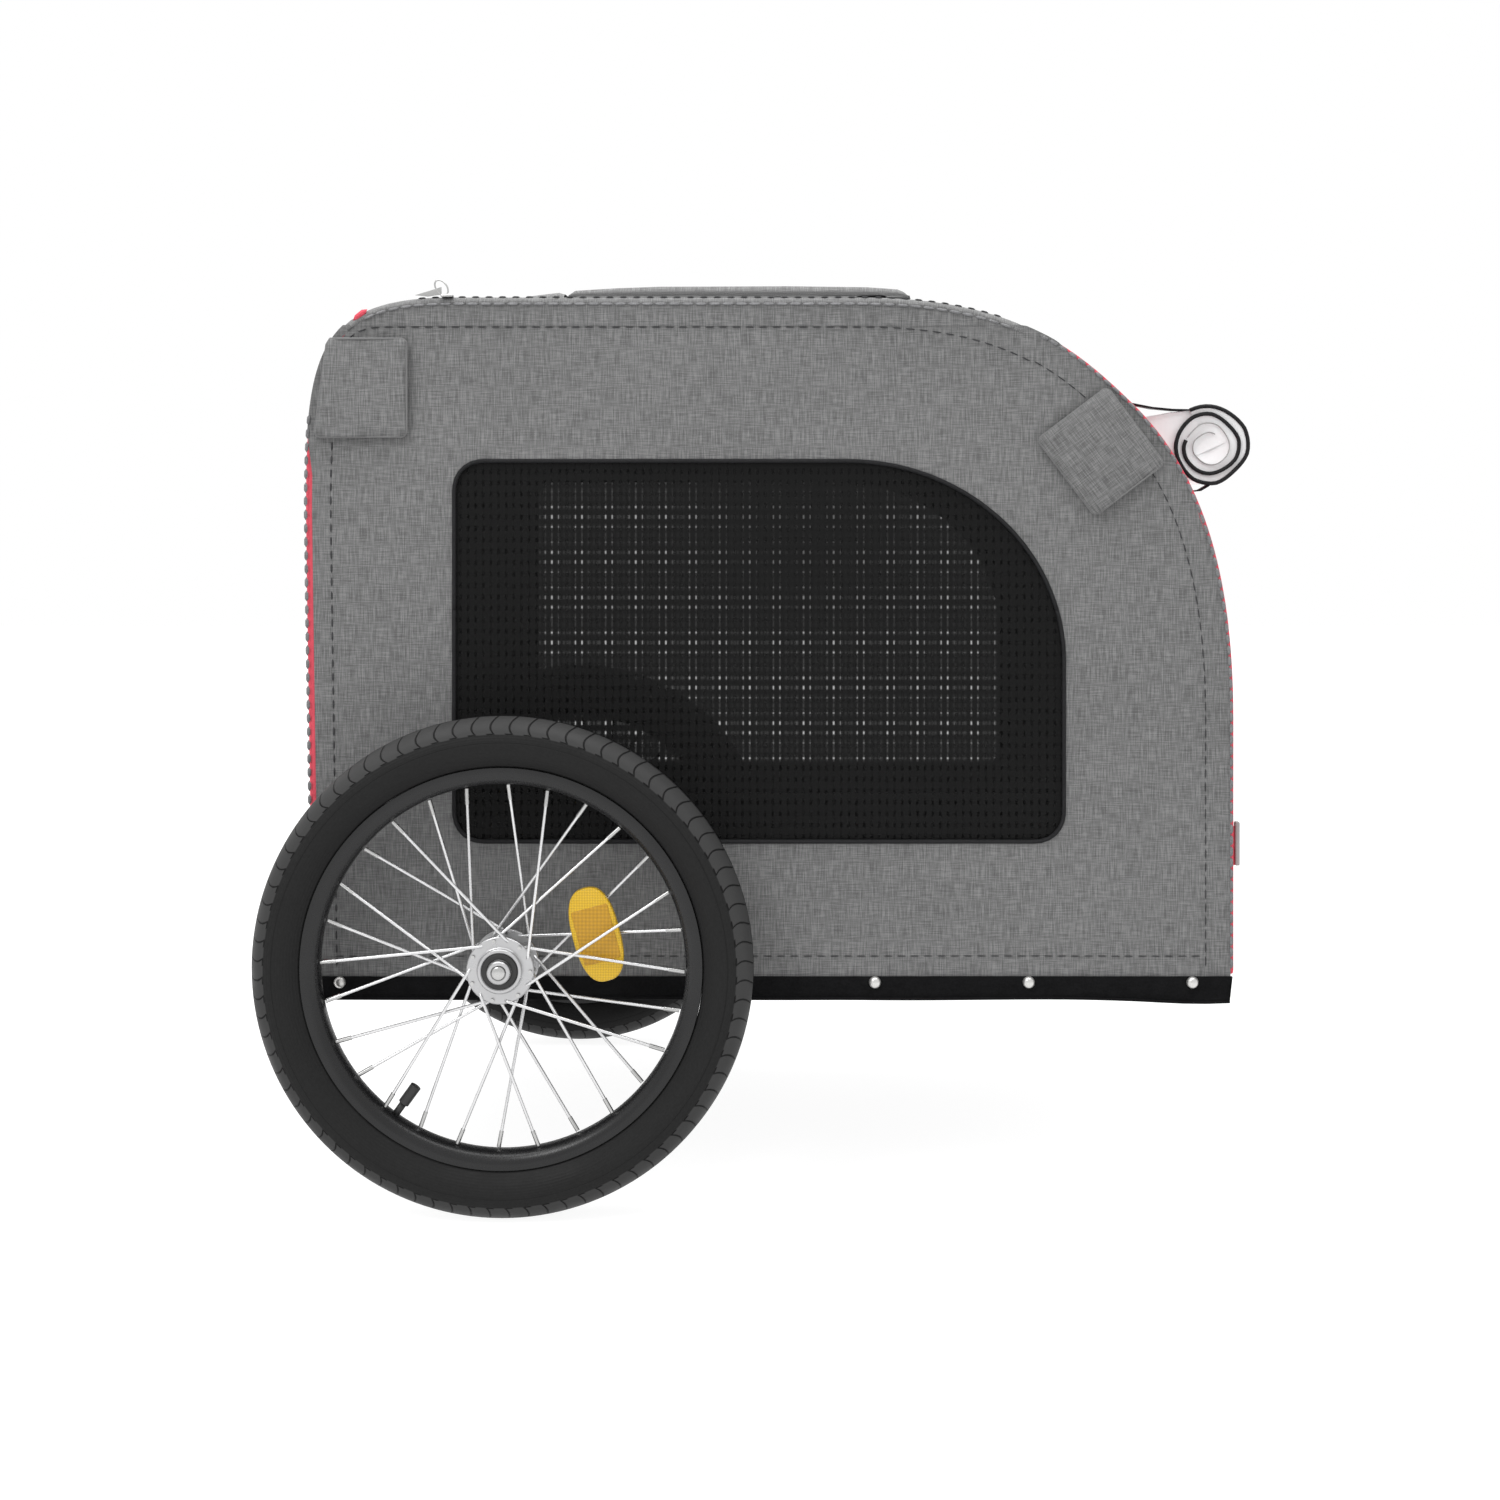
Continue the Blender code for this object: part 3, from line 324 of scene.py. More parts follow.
def turned_metal(name, colour, roughness):
    """Machined metal with fine rings round the Y axis."""
    graph = Graph(name)
    radius, _, y, _ = graph.wheel_radius()
    rings = graph.wave(graph.calc("ADD", radius, y), 0.0007)
    broad = graph.noise(graph.place, 60, 2.0)
    tint = graph.ramp(broad, (0.3, tuple(0.9 * c for c in colour)), (0.7, colour))
    normal = graph.bump(rings, 0.00003, 0.5)
    rough = graph.span(broad, 0.3, 0.7, roughness - 0.05, roughness + 0.08)
    return graph.finish(graph.surface(tint, rough, metallic=1.0, normal=normal))


def lens(name, colour, cell=0.0021):
    """Prismatic reflector plastic."""
    graph = Graph(name)
    x, _, z = graph.axes(graph.place)
    steps = [graph.calc("PINGPONG", graph.times(value, 1 / cell), 0.5) for value in (x, z)]
    height = graph.calc("ADD", *steps)
    tint = graph.ramp(height, (0.2, tuple(0.72 * c for c in colour)), (0.9, colour))
    normal = graph.bump(height, 0.0007, 0.8)
    return graph.finish(graph.surface(tint, 0.3, normal=normal, coat=0.2, specular=0.3))


GREY = melange("grey_melange", 0.090, 0.139, 0.208)
LINING = plain_cloth("black_lining", (0.007, 0.007, 0.0075), specular=0.05)
RED = plain_cloth("red_cloth", (0.63, 0.080, 0.112), spread=0.05)
BLACK = plain_cloth("skirt_webbing", (0.0062, 0.0062, 0.0066), spread=0.2, roughness=0.8, specular=0.05)
BINDING = plain_cloth("binding", (0.011, 0.011, 0.012), spread=0.2, roughness=0.5, specular=0.15)
THREAD = plain_cloth("grey_thread", (0.048, 0.048, 0.050), spread=0.15, pitch=0.0006)
PALE_THREAD = plain_cloth("overlock_thread", (0.19, 0.19, 0.195), spread=0.15, pitch=0.0006)
MESH = window_mesh()
FILM = film()
LAYERS = coated("film_edges", (0.76, 0.76, 0.765), 0.35, 0.0, 160, 0.0006, 0.08, coat=0.3)
RUBBER = rubber()
STEEL = coated("powder_coat", (0.016, 0.016, 0.0175), 0.42, 0.0, 900, 0.0001, coat=0.1)
PLATED = coated("zinc_plate", (0.46, 0.46, 0.455), 0.28, 1.0, 300, 0.00002, 0.08)
PALE_METAL = coated("rivet_metal", (0.56, 0.555, 0.54), 0.34, 0.85, 500, 0.00003, 0.06)
HUB = turned_metal("hub_alloy", (0.47, 0.47, 0.475), 0.30)
SPOKE = coated("spoke_steel", (0.66, 0.66, 0.665), 0.30, 1.0, 800, 0.00001, 0.05)
RIM = coated("rim_anodised", (0.0075, 0.0075, 0.008), 0.30, 0.0, 700, 0.00003, 0.2, specular=0.35)
SEAL = coated("bearing_seal", (0.010, 0.010, 0.010), 0.5, 0.0, 900, 0.00004)
PLASTIC = coated("trim_plastic", (0.018, 0.018, 0.019), 0.45, 0.0, 800, 0.00008)
PALE_PLASTIC = coated("pull_tab", (0.30, 0.30, 0.295), 0.4, 0.0, 800, 0.00006, 0.1)
BOARD = coated("floor_board", (0.035, 0.035, 0.036), 0.6, 0.0, 260, 0.0002, 0.3)
AMBER = lens("amber_lens", (0.68, 0.42, 0.018))
AMBER_CORE = lens("amber_core", (0.50, 0.265, 0.012), 0.0030)
VALVE = coated("valve_rubber", (0.012, 0.012, 0.012), 0.5)


# ---- outlines, in stations and heights ----
def bezier(start, handle_1, handle_2, end, steps):
    """Points of a cubic curve, without its last point."""
    points = []
    for step in range(steps):
        t = step / steps
        weights = ((1 - t) ** 3, 3 * (1 - t) ** 2 * t, 3 * (1 - t) * t ** 2, t ** 3)
        points.append(tuple(
            sum(w * p[axis] for w, p in zip(weights, (start, handle_1, handle_2, end))) for axis in (0, 1)
        ))
    return points


def circle(centre=(0, 0), radius=1, steps=20):
    turns = (math.tau * step / steps for step in range(steps))
    return [(centre[0] + radius * math.cos(a), centre[1] + radius * math.sin(a)) for a in turns]


def cabin_line(inset=0.0):
    """The cabin's side outline from the bottom of the rear edge, over the top, to the front bottom."""
    knee = (0.677, 0.649)
    along = (math.cos(math.radians(-44)), math.sin(math.radians(-44)))
    line = bezier((0.006, BODY_BOTTOM), (0.0045, 0.300), (0.0020, 0.430), (0.0005, 0.560), 10)
    line += bezier((0.0005, 0.560), (0.0005, 0.690), (0.010, ROOF_TOP), (0.120, ROOF_TOP), 36)
    line += [(0.120 + 0.335 * step / 20, ROOF_TOP) for step in range(20)]
    before, after = (tuple(k + reach * a for k, a in zip(knee, along)) for reach in (-0.060, 0.080))
    line += bezier((0.455, ROOF_TOP), (0.585, ROOF_TOP), before, knee, 24)
    line += bezier(knee, after, (BODY_LENGTH, 0.510), (BODY_LENGTH, 0.390), 24)
    line += [(BODY_LENGTH, 0.390 + (BODY_BOTTOM - 0.390) * step / 12) for step in range(13)]
    moved = []
    for index, point in enumerate(line):
        before, after = Vector(line[max(index - 1, 0)]), Vector(line[min(index + 1, len(line) - 1)])
        run = (after - before).normalized()
        moved.append((point[0] + inset * run.y, point[1] - inset * run.x))
    return moved


LINE = cabin_line()
HALF = len(LINE) // 2


def crossing(first, second, height):
    t = (height - first[1]) / (second[1] - first[1])
    return (first[0] + t * (second[0] - first[0]), height)


def edge_run(end, low, high, inset=0.0):
    """Points up the rear or the front edge of the cabin between two heights."""
    line = cabin_line(inset)
    run = line[:HALF] if end == "rear" else line[:HALF - 1:-1]
    points = []
    for first, second in zip(run, run[1:]):
        if first[1] < low < second[1]:
            points.append(crossing(first, second, low))
        if low <= second[1] <= high:
            points.append(second)
        if first[1] < high < second[1]:
            points.append(crossing(first, second, high))
    return points


def top_run():
    """The cabin's outline above the roof joint, from the rear to the front."""
    points = []
    for first, second in zip(LINE, LINE[1:]):
        if (first[1] < ROOF_Z) != (second[1] < ROOF_Z):
            points.append(crossing(first, second, ROOF_Z))
        if second[1] >= ROOF_Z:
            points.append(second)
    return points


def band(low, high):
    """Side cover's outline between two heights. It reaches the edge at the rear top, above the red strip."""
    rear = []
    for point in spaced(edge_run("rear", low, high), 0.005):
        share = min(max((point.y - RED_EDGE_TOP) / RED_EDGE_FADE, 0.0), 1.0)
        inset = REAR_INSET + (0.0006 - REAR_INSET) * share
        rear.append((point.x + inset * (0.8 if share == 1 else 1.0), point.y))
    front = []
    for point in spaced(edge_run("front", low, high, FRONT_INSET), 0.005):
        share = min(max((point.y - FRONT_EDGE_TOP) / FRONT_EDGE_FADE, 0.0), 1.0)
        front.append((point.x + 0.0044 * share, point.y + 0.0012 * share * (point.y < high - 0.001)))
    return rear + front[::-1]


def window_outline(grow=0.0, steps=7):
    """Outline of the mesh window: three small corners and a long quarter ellipse at the front top."""
    rear, front = WINDOW_REAR - grow, WINDOW_FRONT + grow
    bottom, top = WINDOW_BOTTOM - grow, WINDOW_TOP + grow
    corner, long_x, long_z = WINDOW_CORNER + grow, WINDOW_CURVE[0] + grow, WINDOW_CURVE[1] + grow
    centres = (
        (rear + corner, bottom + corner, corner, corner, 180, steps),
        (front - corner, bottom + corner, corner, corner, 270, steps),
        (front - long_x, top - long_z, long_x, long_z, 0, steps * 4),
        (rear + corner, top - corner, corner, corner, 90, steps),
    )
    points = []
    for x, z, radius_x, radius_z, start, count in centres:
        for step in range(count + 1):
            angle = math.radians(start + 90 * step / count)
            points.append((x + radius_x * math.cos(angle), z + radius_z * math.sin(angle)))
    return points


def clip(outline, height, sign):
    """Keep the part of a closed outline above (sign 1) or below (sign -1) a height."""
    kept = []
    for first, second in zip(outline, outline[1:] + outline[:1]):
        inside_first, inside_second = ((p[1] - height) * sign >= 0 for p in (first, second))
        if inside_first:
            kept.append(first)
        if inside_first != inside_second:
            kept.append(crossing(first, second, height))
    return kept


def turned(centre, x, z, tilt):
    """A place given from a centre, turned about it."""
    return (centre[0] + x * math.cos(tilt) - z * math.sin(tilt),
            centre[1] + x * math.sin(tilt) + z * math.cos(tilt))


def rounded(centre, size, radius, tilt=0.0, steps=5):
    """Rectangle with round corners, tilted about its centre."""
    points = []
    for index, (a, b) in enumerate(((1, 1), (-1, 1), (-1, -1), (1, -1))):
        for step in range(steps + 1):
            angle = math.radians(90 * index + 90 * step / steps)
            x = a * (size[0] / 2 - radius) + radius * math.cos(angle)
            z = b * (size[1] / 2 - radius) + radius * math.sin(angle)
            points.append(turned(centre, x, z, tilt))
    return points


def spaced(points, step, closed=False):
    """Points at an even spacing along a path."""
    path = [Vector(p) for p in points] + ([Vector(points[0])] if closed else [])
    lengths = [0.0]
    for first, second in zip(path, path[1:]):
        lengths.append(lengths[-1] + (second - first).length)
    count = max(int(round(lengths[-1] / step)), 1)
    found, index = [], 0
    for number in range(count + (0 if closed else 1)):
        target = lengths[-1] * number / count
        while index < len(path) - 2 and lengths[index + 1] < target:
            index += 1
        gap = lengths[index + 1] - lengths[index]
        found.append(path[index].lerp(path[index + 1], (target - lengths[index]) / gap if gap else 0))
    return found


def split_open(loop, height, above):
    """The one stretch of a closed loop above or below a height, as an open path."""
    test = [(p[1] > height) == above for p in loop]
    start = next(i for i in range(len(loop)) if test[i] and not test[i - 1])
    order = loop[start:] + loop[:start]
    kept = []
    for point in order:
        if (point[1] > height) != above:
            break
        kept.append(point)
    return [crossing(order[-1], kept[0], height)] + kept + [crossing(kept[-1], order[len(kept)], height)]


# ---- the side's soft surface ----
def ripple(station, height, side):
    """How far the cloth stands out or sinks at a place on the side."""
    wave = noise.noise(Vector((station * 8, height * 8, 3.0 * side)))
    wave += 0.5 * noise.noise(Vector((station * 19, height * 17, 9.0 + side)))
    reach = 0.03
    joint = min(abs(ROOF_Z - height), abs(KNEE_Z - height) + 0.012)
    return 0.0009 * wave * max(min(station, BODY_LENGTH - station, joint, reach) / reach, 0.0)


def skin(station, height, side, proud=0.0):
    """Point on the side cover, some way proud of it."""
    out = SIDE_Y - SIDE_SINK + proud + ripple(station, height, side)
    return Vector((REAR_X + station, side * out, height))


def side_body(label, height):
    if height < SILL_Z:
        return "base"
    if height < KNEE_Z:
        return f"{label}_lower"
    return f"{label}_upper" if height < ROOF_Z else "roof"


# ---- building ----
def link(name, mesh, *materials):
    piece = bpy.data.objects.new(name, mesh)
    bpy.context.scene.collection.objects.link(piece)
    for material in materials:
        mesh.materials.append(material)
    return piece


def place_piece(piece, body, slot, *replaced):
    """Put a piece on a body, in place of CAD nodes if any are named."""
    if replaced:
        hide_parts(*replaced)
    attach(piece, body)


def mesh_from(name, points, faces, uvs=None):
    mesh = bpy.data.meshes.new(name)
    mesh.from_pydata([tuple(p) for p in points], [], faces)
    if uvs is not None:
        layer = mesh.uv_layers.new(name="UVMap")
        for loop in mesh.loops:
            layer.data[loop.index].uv = uvs[loop.vertex_index]
    mesh.shade_smooth()
    mesh.update()
    return mesh


def within(points, loop):
    """Which of the points lie inside a closed loop."""
    inside = np.zeros(len(points), bool)
    x, z = points[:, 0], points[:, 1]
    for (x1, z1), (x2, z2) in zip(loop, loop[1:] + loop[:1]):
        if z1 == z2:
            continue
        crosses = (z1 > z) != (z2 > z)
        inside ^= crosses & (x < (x2 - x1) * (z - z1) / (z2 - z1) + x1)
    return inside


class Cloth:
    """A flat cut with holes, on a fine triangle grid."""

    def __init__(self, outline, holes=(), step=0.006):
        loops = [self.keep_corners(outline, step)]
        loops += [[tuple(p) for p in spaced(hole, step, closed=True)] for hole in holes]
        border = np.array([p for loop in loops for p in loop])
        low, high = border.min(0), border.max(0)
        columns = np.arange(low[0] + step / 2, high[0], step)
        rows = np.arange(low[1] + step / 2, high[1], step * 0.87)
        grid = np.array([(x + (index % 2) * step / 2, z) for index, z in enumerate(rows) for x in columns])
        keep = within(grid, loops[0])
        for hole in loops[1:]:
            keep &= ~within(grid, hole)
        grid = grid[keep]
        near = np.ones(len(grid), bool)
        for point in border:
            near &= ((grid - point) ** 2).sum(1) > (0.55 * step) ** 2
        points = [Vector(p) for p in np.vstack((border, grid[near]))]
        edges, start = [], 0
        for loop in loops:
            edges += [(start + i, start + (i + 1) % len(loop)) for i in range(len(loop))]
            start += len(loop)
        found, _, faces, *_ = delaunay_2d_cdt(points, edges, [], 0, 1e-7)
        self.points = [(p.x, p.y) for p in found]
        middles = np.array([np.mean([self.points[i] for i in face], axis=0) for face in faces])
        keep = within(middles, loops[0])
        for hole in loops[1:]:
            keep &= ~within(middles, hole)
        self.faces = [face for face, kept in zip(faces, keep) if kept]
        self.area = 0.0
        for face in self.faces:
            (ax, az), (bx, bz), (cx, cz) = (self.points[i] for i in face)
            self.area += abs((bx - ax) * (cz - az) - (cx - ax) * (bz - az)) / 2
        self.size = tuple(float(v) for v in high - low)

    @staticmethod
    def keep_corners(outline, step):
        """The outline with its own points kept and its long edges divided."""
        kept = []
        for first, second in zip(outline, outline[1:] + outline[:1]):
            first, second = Vector(first), Vector(second)
            parts = max(int((second - first).length / step), 1)
            kept += [tuple(first.lerp(second, i / parts)) for i in range(parts)]
        return [p for i, p in enumerate(kept) if (Vector(p) - Vector(kept[i - 1])).length > step * 0.05]

    def make(self, name, put, materials, body=None, replaced=(), thickness=0.0, turn=0.0,
             rim=True):
        """The sheet with each flat point put in space and its outer face outward, attached to the body if one
        is given.
        """
        placed = [put(*p) for p in self.points]
        cos, sin = math.cos(turn), math.sin(turn)
        uvs = [(x * cos + z * sin, z * cos - x * sin) for x, z in self.points]
        mesh = mesh_from(name, placed, self.faces, uvs)
        if sum(f.normal.dot(f.center - MIDDLE) * f.area for f in mesh.polygons) < 0:
            mesh.flip_normals()
        piece = link(name, mesh, *materials)
        if thickness:
            shell = piece.modifiers.new("thickness", "SOLIDIFY")
            shell.thickness = thickness
            shell.offset = -1
            shell.use_rim = rim
            if len(materials) > 1:
                shell.material_offset = 1
                shell.material_offset_rim = 0
        full = self.area / (self.size[0] * self.size[1]) >= 0.999
        None if full else self.area
        if replaced:
            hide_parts(*replaced)
        if body:
            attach(piece, body)
        return piece


def tube(name, points, radius, material, closed=False, sides=8):
    """Round cord along a path of points."""
    path = [Vector(p) for p in points]
    rings, faces = [], []
    up = None
    for index, point in enumerate(path):
        before = path[index - 1] if closed or index else point
        after = path[(index + 1) % len(path)] if closed or index + 1 < len(path) else point
        run = (after - before).normalized()
        if up is None:
            up = run.orthogonal().normalized()
        up = (up - run * up.dot(run)).normalized()
        across = run.cross(up)
        rings += [point + (up * cos + across * sin) * radius for cos, sin in circle(steps=sides)]
    count = len(path)
    for index in range(count if closed else count - 1):
        a, b = index * sides, ((index + 1) % count) * sides
        for side in range(sides):
            nxt = (side + 1) % sides
            faces.append((a + side, b + side, b + nxt, a + nxt))
    if not closed:
        faces.append(tuple(range(sides)))
        faces.append(tuple(reversed(range((count - 1) * sides, count * sides))))
    return link(name, mesh_from(name, rings, faces), material)


def lens_form(rings=3, sides=8):
    """Template of a small rounded dash, one unit long, wide and high."""
    points, faces = [(-0.5, 0, 0)], []
    for ring in range(1, rings + 1):
        along = -0.5 + ring / (rings + 1)
        girth = math.sqrt(max(1 - (2 * along) ** 4, 0.0)) / 2
        points += [(along, girth * cos, girth * sin) for cos, sin in circle(steps=sides)]
    points.append((0.5, 0, 0))
    for side in range(sides):
        nxt = (side + 1) % sides
        faces.append((0, 1 + nxt, 1 + side))
        for ring in range(rings - 1):
            a, b = 1 + ring * sides, 1 + (ring + 1) * sides
            faces.append((a + side, a + nxt, b + nxt, b + side))
        last = 1 + (rings - 1) * sides
        faces.append((last + side, last + nxt, len(points) - 1))
    return points, faces


DASH = lens_form()


def scatter(name, places, size, material):
    """Dashes of one size at (centre, along, outward) places, as one mesh."""
    points, faces = [], []
    for centre, along, outward in places:
        along = along.normalized()
        across = outward.cross(along).normalized()
        outward = along.cross(across)
        start = len(points)
        for x, y, z in DASH[0]:
            points.append(centre + along * (x * size[0]) + across * (y * size[1]) + outward * (z * size[2]))
        faces += [tuple(start + i for i in face) for face in DASH[1]]
    return link(name, mesh_from(name, points, faces), material)


def side_run(name, label, path, size, material, period=STITCH_PERIOD, proud=0.0004, body=None):
    """A row of dashes along a path on the side cover, each stretch on the body beneath it."""
    side = SIDES[label]
    groups = {}
    marks = spaced(path, period)
    for first, second in zip(marks, marks[1:]):
        middle = (first + second) / 2
        ends = [skin(*p, side, proud) for p in (first, second)]
        place = ((ends[0] + ends[1]) / 2, ends[1] - ends[0], Vector((0, side, 0)))
        groups.setdefault(body or side_body(label, middle.y), []).append(place)
    for carrier, places in groups.items():
        place_piece(scatter(f"{name}_{label}_{carrier}", places, size, material), carrier, "grey_fabric")


def lathe(name, profile, segments, material, closed=True, sharp=30):
    """Profile of (radius, outward) points turned about the Y axis; outward is -Y."""
    points, faces = [], []
    for cos, sin in circle(steps=segments):
        points += [(r * cos, -w, r * sin) for r, w in profile]
    count = len(profile)
    for step in range(segments):
        a, b = step * count, ((step + 1) % segments) * count
        for i in range(count if closed else count - 1):
            j = (i + 1) % count
            faces.append((a + i, a + j, b + j, b + i))
    mesh = mesh_from(name, points, faces)
    form = bmesh.new()
    form.from_mesh(mesh)
    bmesh.ops.remove_doubles(form, verts=form.verts, dist=1e-6)
    bmesh.ops.recalc_face_normals(form, faces=form.faces)
    form.to_mesh(mesh)
    form.free()
    mesh.set_sharp_from_angle(angle=math.radians(sharp))
    return link(name, mesh, material)


def grid_mesh(name, rows, *materials, closed_rows=False):
    """Quads between rows of points, with UVs in metres."""
    count = len(rows[0])
    points = [p for row in rows for p in row]
    uvs, along = [], 0.0
    for index, row in enumerate(rows):
        if index:
            along += (row[count // 2] - rows[index - 1][count // 2]).length
        across = 0.0
        for i, point in enumerate(row):
            if i:
                across += (point - row[i - 1]).length
            uvs.append((along, across))
    faces = []
    for index in range(len(rows) - 1):
        for i in range(count if closed_rows else count - 1):
            j = (i + 1) % count
            a, b = index * count, (index + 1) * count
            faces.append((a + i, a + j, b + j, b + i))
    return link(name, mesh_from(name, points, faces, uvs), *materials)


def block(name, centre, size, material, bevel):
    """Soft-edged moulded block."""
    mesh = bpy.data.meshes.new(name)
    form = bmesh.new()
    bmesh.ops.create_cube(form, size=1, matrix=Matrix.Diagonal((*size, 1)))
    bmesh.ops.bevel(form, geom=form.edges[:], offset=bevel, segments=3, affect="EDGES", profile=0.5)
    form.to_mesh(mesh)
    form.free()
    mesh.shade_smooth()
    piece = link(name, mesh, material)
    piece.location = centre
    return piece


# ---- side covers ----
def build_side(label):
    """Side covers below and above the knee joint, and each leaf's window mesh, piping and hem."""
    side = SIDES[label]
    window = window_outline(0.001)
    cut_low = notched(band(SKIRT_TOP - 0.003, KNEE_Z), window, KNEE_Z, above=False)
    low = Cloth(cut_low, [circle((AXLE_STATION, WHEEL_RADIUS), AXLE_HOLE)])
    cover = low.make(f"side_cover_low_{label}", lambda s, z: skin(s, z, side), (GREY, LINING),
                     replaced=(f"base_wall_{label}", f"{label}_lower_panel"), thickness=COVER_THICKNESS,
                     rim=False)
    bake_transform(cover)
    high = Cloth(notched(band(KNEE_Z, ROOF_Z), window, KNEE_Z, above=True))
    cover = high.make(f"side_cover_high_{label}", lambda s, z: skin(s, z, side), (GREY, LINING),
                      None if label == "left" else "right_upper",
                      (f"{label}_upper_panel",), COVER_THICKNESS, rim=False)
    if label == "left":
        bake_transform(cover)
    for level, above in (("lower", False), ("upper", True)):
        body = f"{label}_{level}"
        half = Cloth(clip(window_outline(0.004), KNEE_Z, 1 if above else -1), step=0.012)
        half.make(f"window_mesh_{level}_{label}", lambda s, z: skin(s, z, side, -0.0016), [MESH],
                  body, [f"{body}_mesh"])
        stretch = split_open(window, KNEE_Z, above)
        marks = spaced(stretch, 0.006)
        cord = tube(f"window_piping_{level}_{label}", [skin(*p, side, 0.0003) for p in marks], 0.0017,
                    BINDING, sides=10)
        place_piece(cord, body, "skirt_fabric")
        inner = split_open(window_outline(-0.0095), KNEE_Z, above)
        count = len(marks)
        rows = []
        for a, b in zip(resampled(stretch, count), resampled(inner, count)):
            rows.append([skin(*a.lerp(b, share), side, -0.0024) for share in (0.0, 0.5, 1.0)])
        hem = grid_mesh(f"window_hem_{level}_{label}", rows, LINING)
        place_piece(hem, body, "skirt_fabric")


def resampled(path, count):
    """The path at a set number of even points."""
    length = sum((Vector(b) - Vector(a)).length for a, b in zip(path, path[1:]))
    found = spaced(path, length / (count - 1))
    return found[:count] if len(found) >= count else found + [found[-1]] * (count - len(found))


def notched(outline, window, height, above):
    """A band's outline with the window cut out of its edge at a height."""
    opening = split_open(window, height, above)
    ends = sorted((opening[0], opening[-1]))
    if opening[0][0] < opening[-1][0]:
        opening = opening[::-1]
    index = next(
        i for i, (a, b) in enumerate(zip(outline, outline[1:] + outline[:1]))
        if abs(a[1] - height) < 1e-6 and abs(b[1] - height) < 1e-6 and abs(a[0] - b[0]) > 0.3
    )
    first = outline[index]
    if first[0] < ends[0][0]:
        opening = opening[::-1]
    return outline[:index + 1] + opening + outline[index + 1:]


def build_side_trim(label):
    """Stitch rows of the side cover, and the overlocked edges, which stay with the doors."""
    rear_stitch = edge_run("rear", 0.186, 0.6185, 0.0215)
    side_run("rear_stitches", label, rear_stitch, (0.0078, 0.0014, 0.0009), THREAD)
    upper = [(0.0345, 0.6990), (0.0400, 0.7045), (0.0480, 0.7085), (0.0580, 0.7103), (0.4700, 0.7103)]
    upper += [p for p in cabin_line(0.0250) if 0.480 < p[0] < 0.600]
    side_run("top_stitches", label, upper, (0.0080, 0.0011, 0.0009), THREAD, proud=0.0008)
    front_stitch = edge_run("front", 0.187, 0.683, 0.0235)
    side_run("front_stitches", label, front_stitch, (0.0086, 0.0009, 0.0008), THREAD)
    bottom = [(0.024, 0.1965), (0.734, 0.1965)]
    side_run("bottom_stitches", label, bottom, (0.0080, 0.0009, 0.0007), THREAD)
    front_edge = edge_run("front", 0.186, 0.704, 0.0024)
    side_run("front_overlock", label, front_edge, (0.0088, 0.0030, 0.0022), PALE_THREAD,
             period=0.0092, body="front_door_body")
    rear_edge = edge_run("rear", 0.186, 0.640, 0.0010)
    side_run("rear_overlock", label, rear_edge, (0.0090, 0.0030, 0.0026), PALE_THREAD,
             body="rear_door_body")


def build_corner_flaps(label):
    """Hook-and-loop tabs at the top corners, on their own hinges."""
    side = SIDES[label]
    shapes = (
        ("rear", (0.0475, 0.6605), (0.075, 0.080), 0.0),
        ("front", (0.6505, 0.6085), (0.071, 0.078), math.radians(37)),
    )
    for end, centre, size, tilt in shapes:
        outline = [on_side(p) for p in rounded(centre, size, 0.005, tilt)]
        cloth = Cloth(outline, step=0.006)

        def put(s, z, centre=centre, reach=max(size) / 2):
            away = min((Vector((s, z)) - Vector(centre)).length / reach, 1.0)
            lift = 0.0012 * noise.noise(Vector((s * 30, z * 30, side)))
            return skin(s, z, side, TAB_PROUD - 0.0012 * away ** 3 + lift)

        body = f"{end}_flap_{label}_body"
        cloth.make(f"{end}_tab_{label}", put, [GREY], body,
                   [f"{end}_flap_{label}"], 0.0015, turn=tilt)
        edge = tube(f"{end}_tab_edge_{label}", [put(*p) + Vector((0, -side * 0.0008, 0)) for p in outline],
                    0.00085, GREY, closed=True, sides=6)
        place_piece(edge, body, "grey_fabric")


def on_side(point):
    """The point, moved forward if it lies behind the cabin's rear edge."""
    heights = [p[1] for p in LINE[:HALF]]
    edge = float(np.interp(point[1], heights, [p[0] for p in LINE[:HALF]]))
    return (max(point[0], edge + 0.0012), point[1])


# ---- roof ----
class Run:
    """A path with its length, its points at a distance along it, and its inward direction."""

    def __init__(self, points):
        self.points = [Vector(p) for p in points]
        self.marks = [0.0]
        for a, b in zip(self.points, self.points[1:]):
            self.marks.append(self.marks[-1] + (b - a).length)
        self.length = self.marks[-1]

    def at(self, distance):
        distance = min(max(distance, 0.0), self.length)
        index = min(int(np.searchsorted(self.marks, distance, side="right")) - 1, len(self.points) - 2)
        a, b = self.points[index], self.points[index + 1]
        run = (b - a).normalized()
        return a.lerp(b, (distance - self.marks[index]) / (self.marks[index + 1] - self.marks[index])), run


ROOF_RUN = Run(top_run())
ROOF_ROUND = 0.0065
ROOF_FLAT = SIDE_Y - ROOF_ROUND
ROOF_REACH = ROOF_FLAT + ROOF_ROUND * math.pi / 2


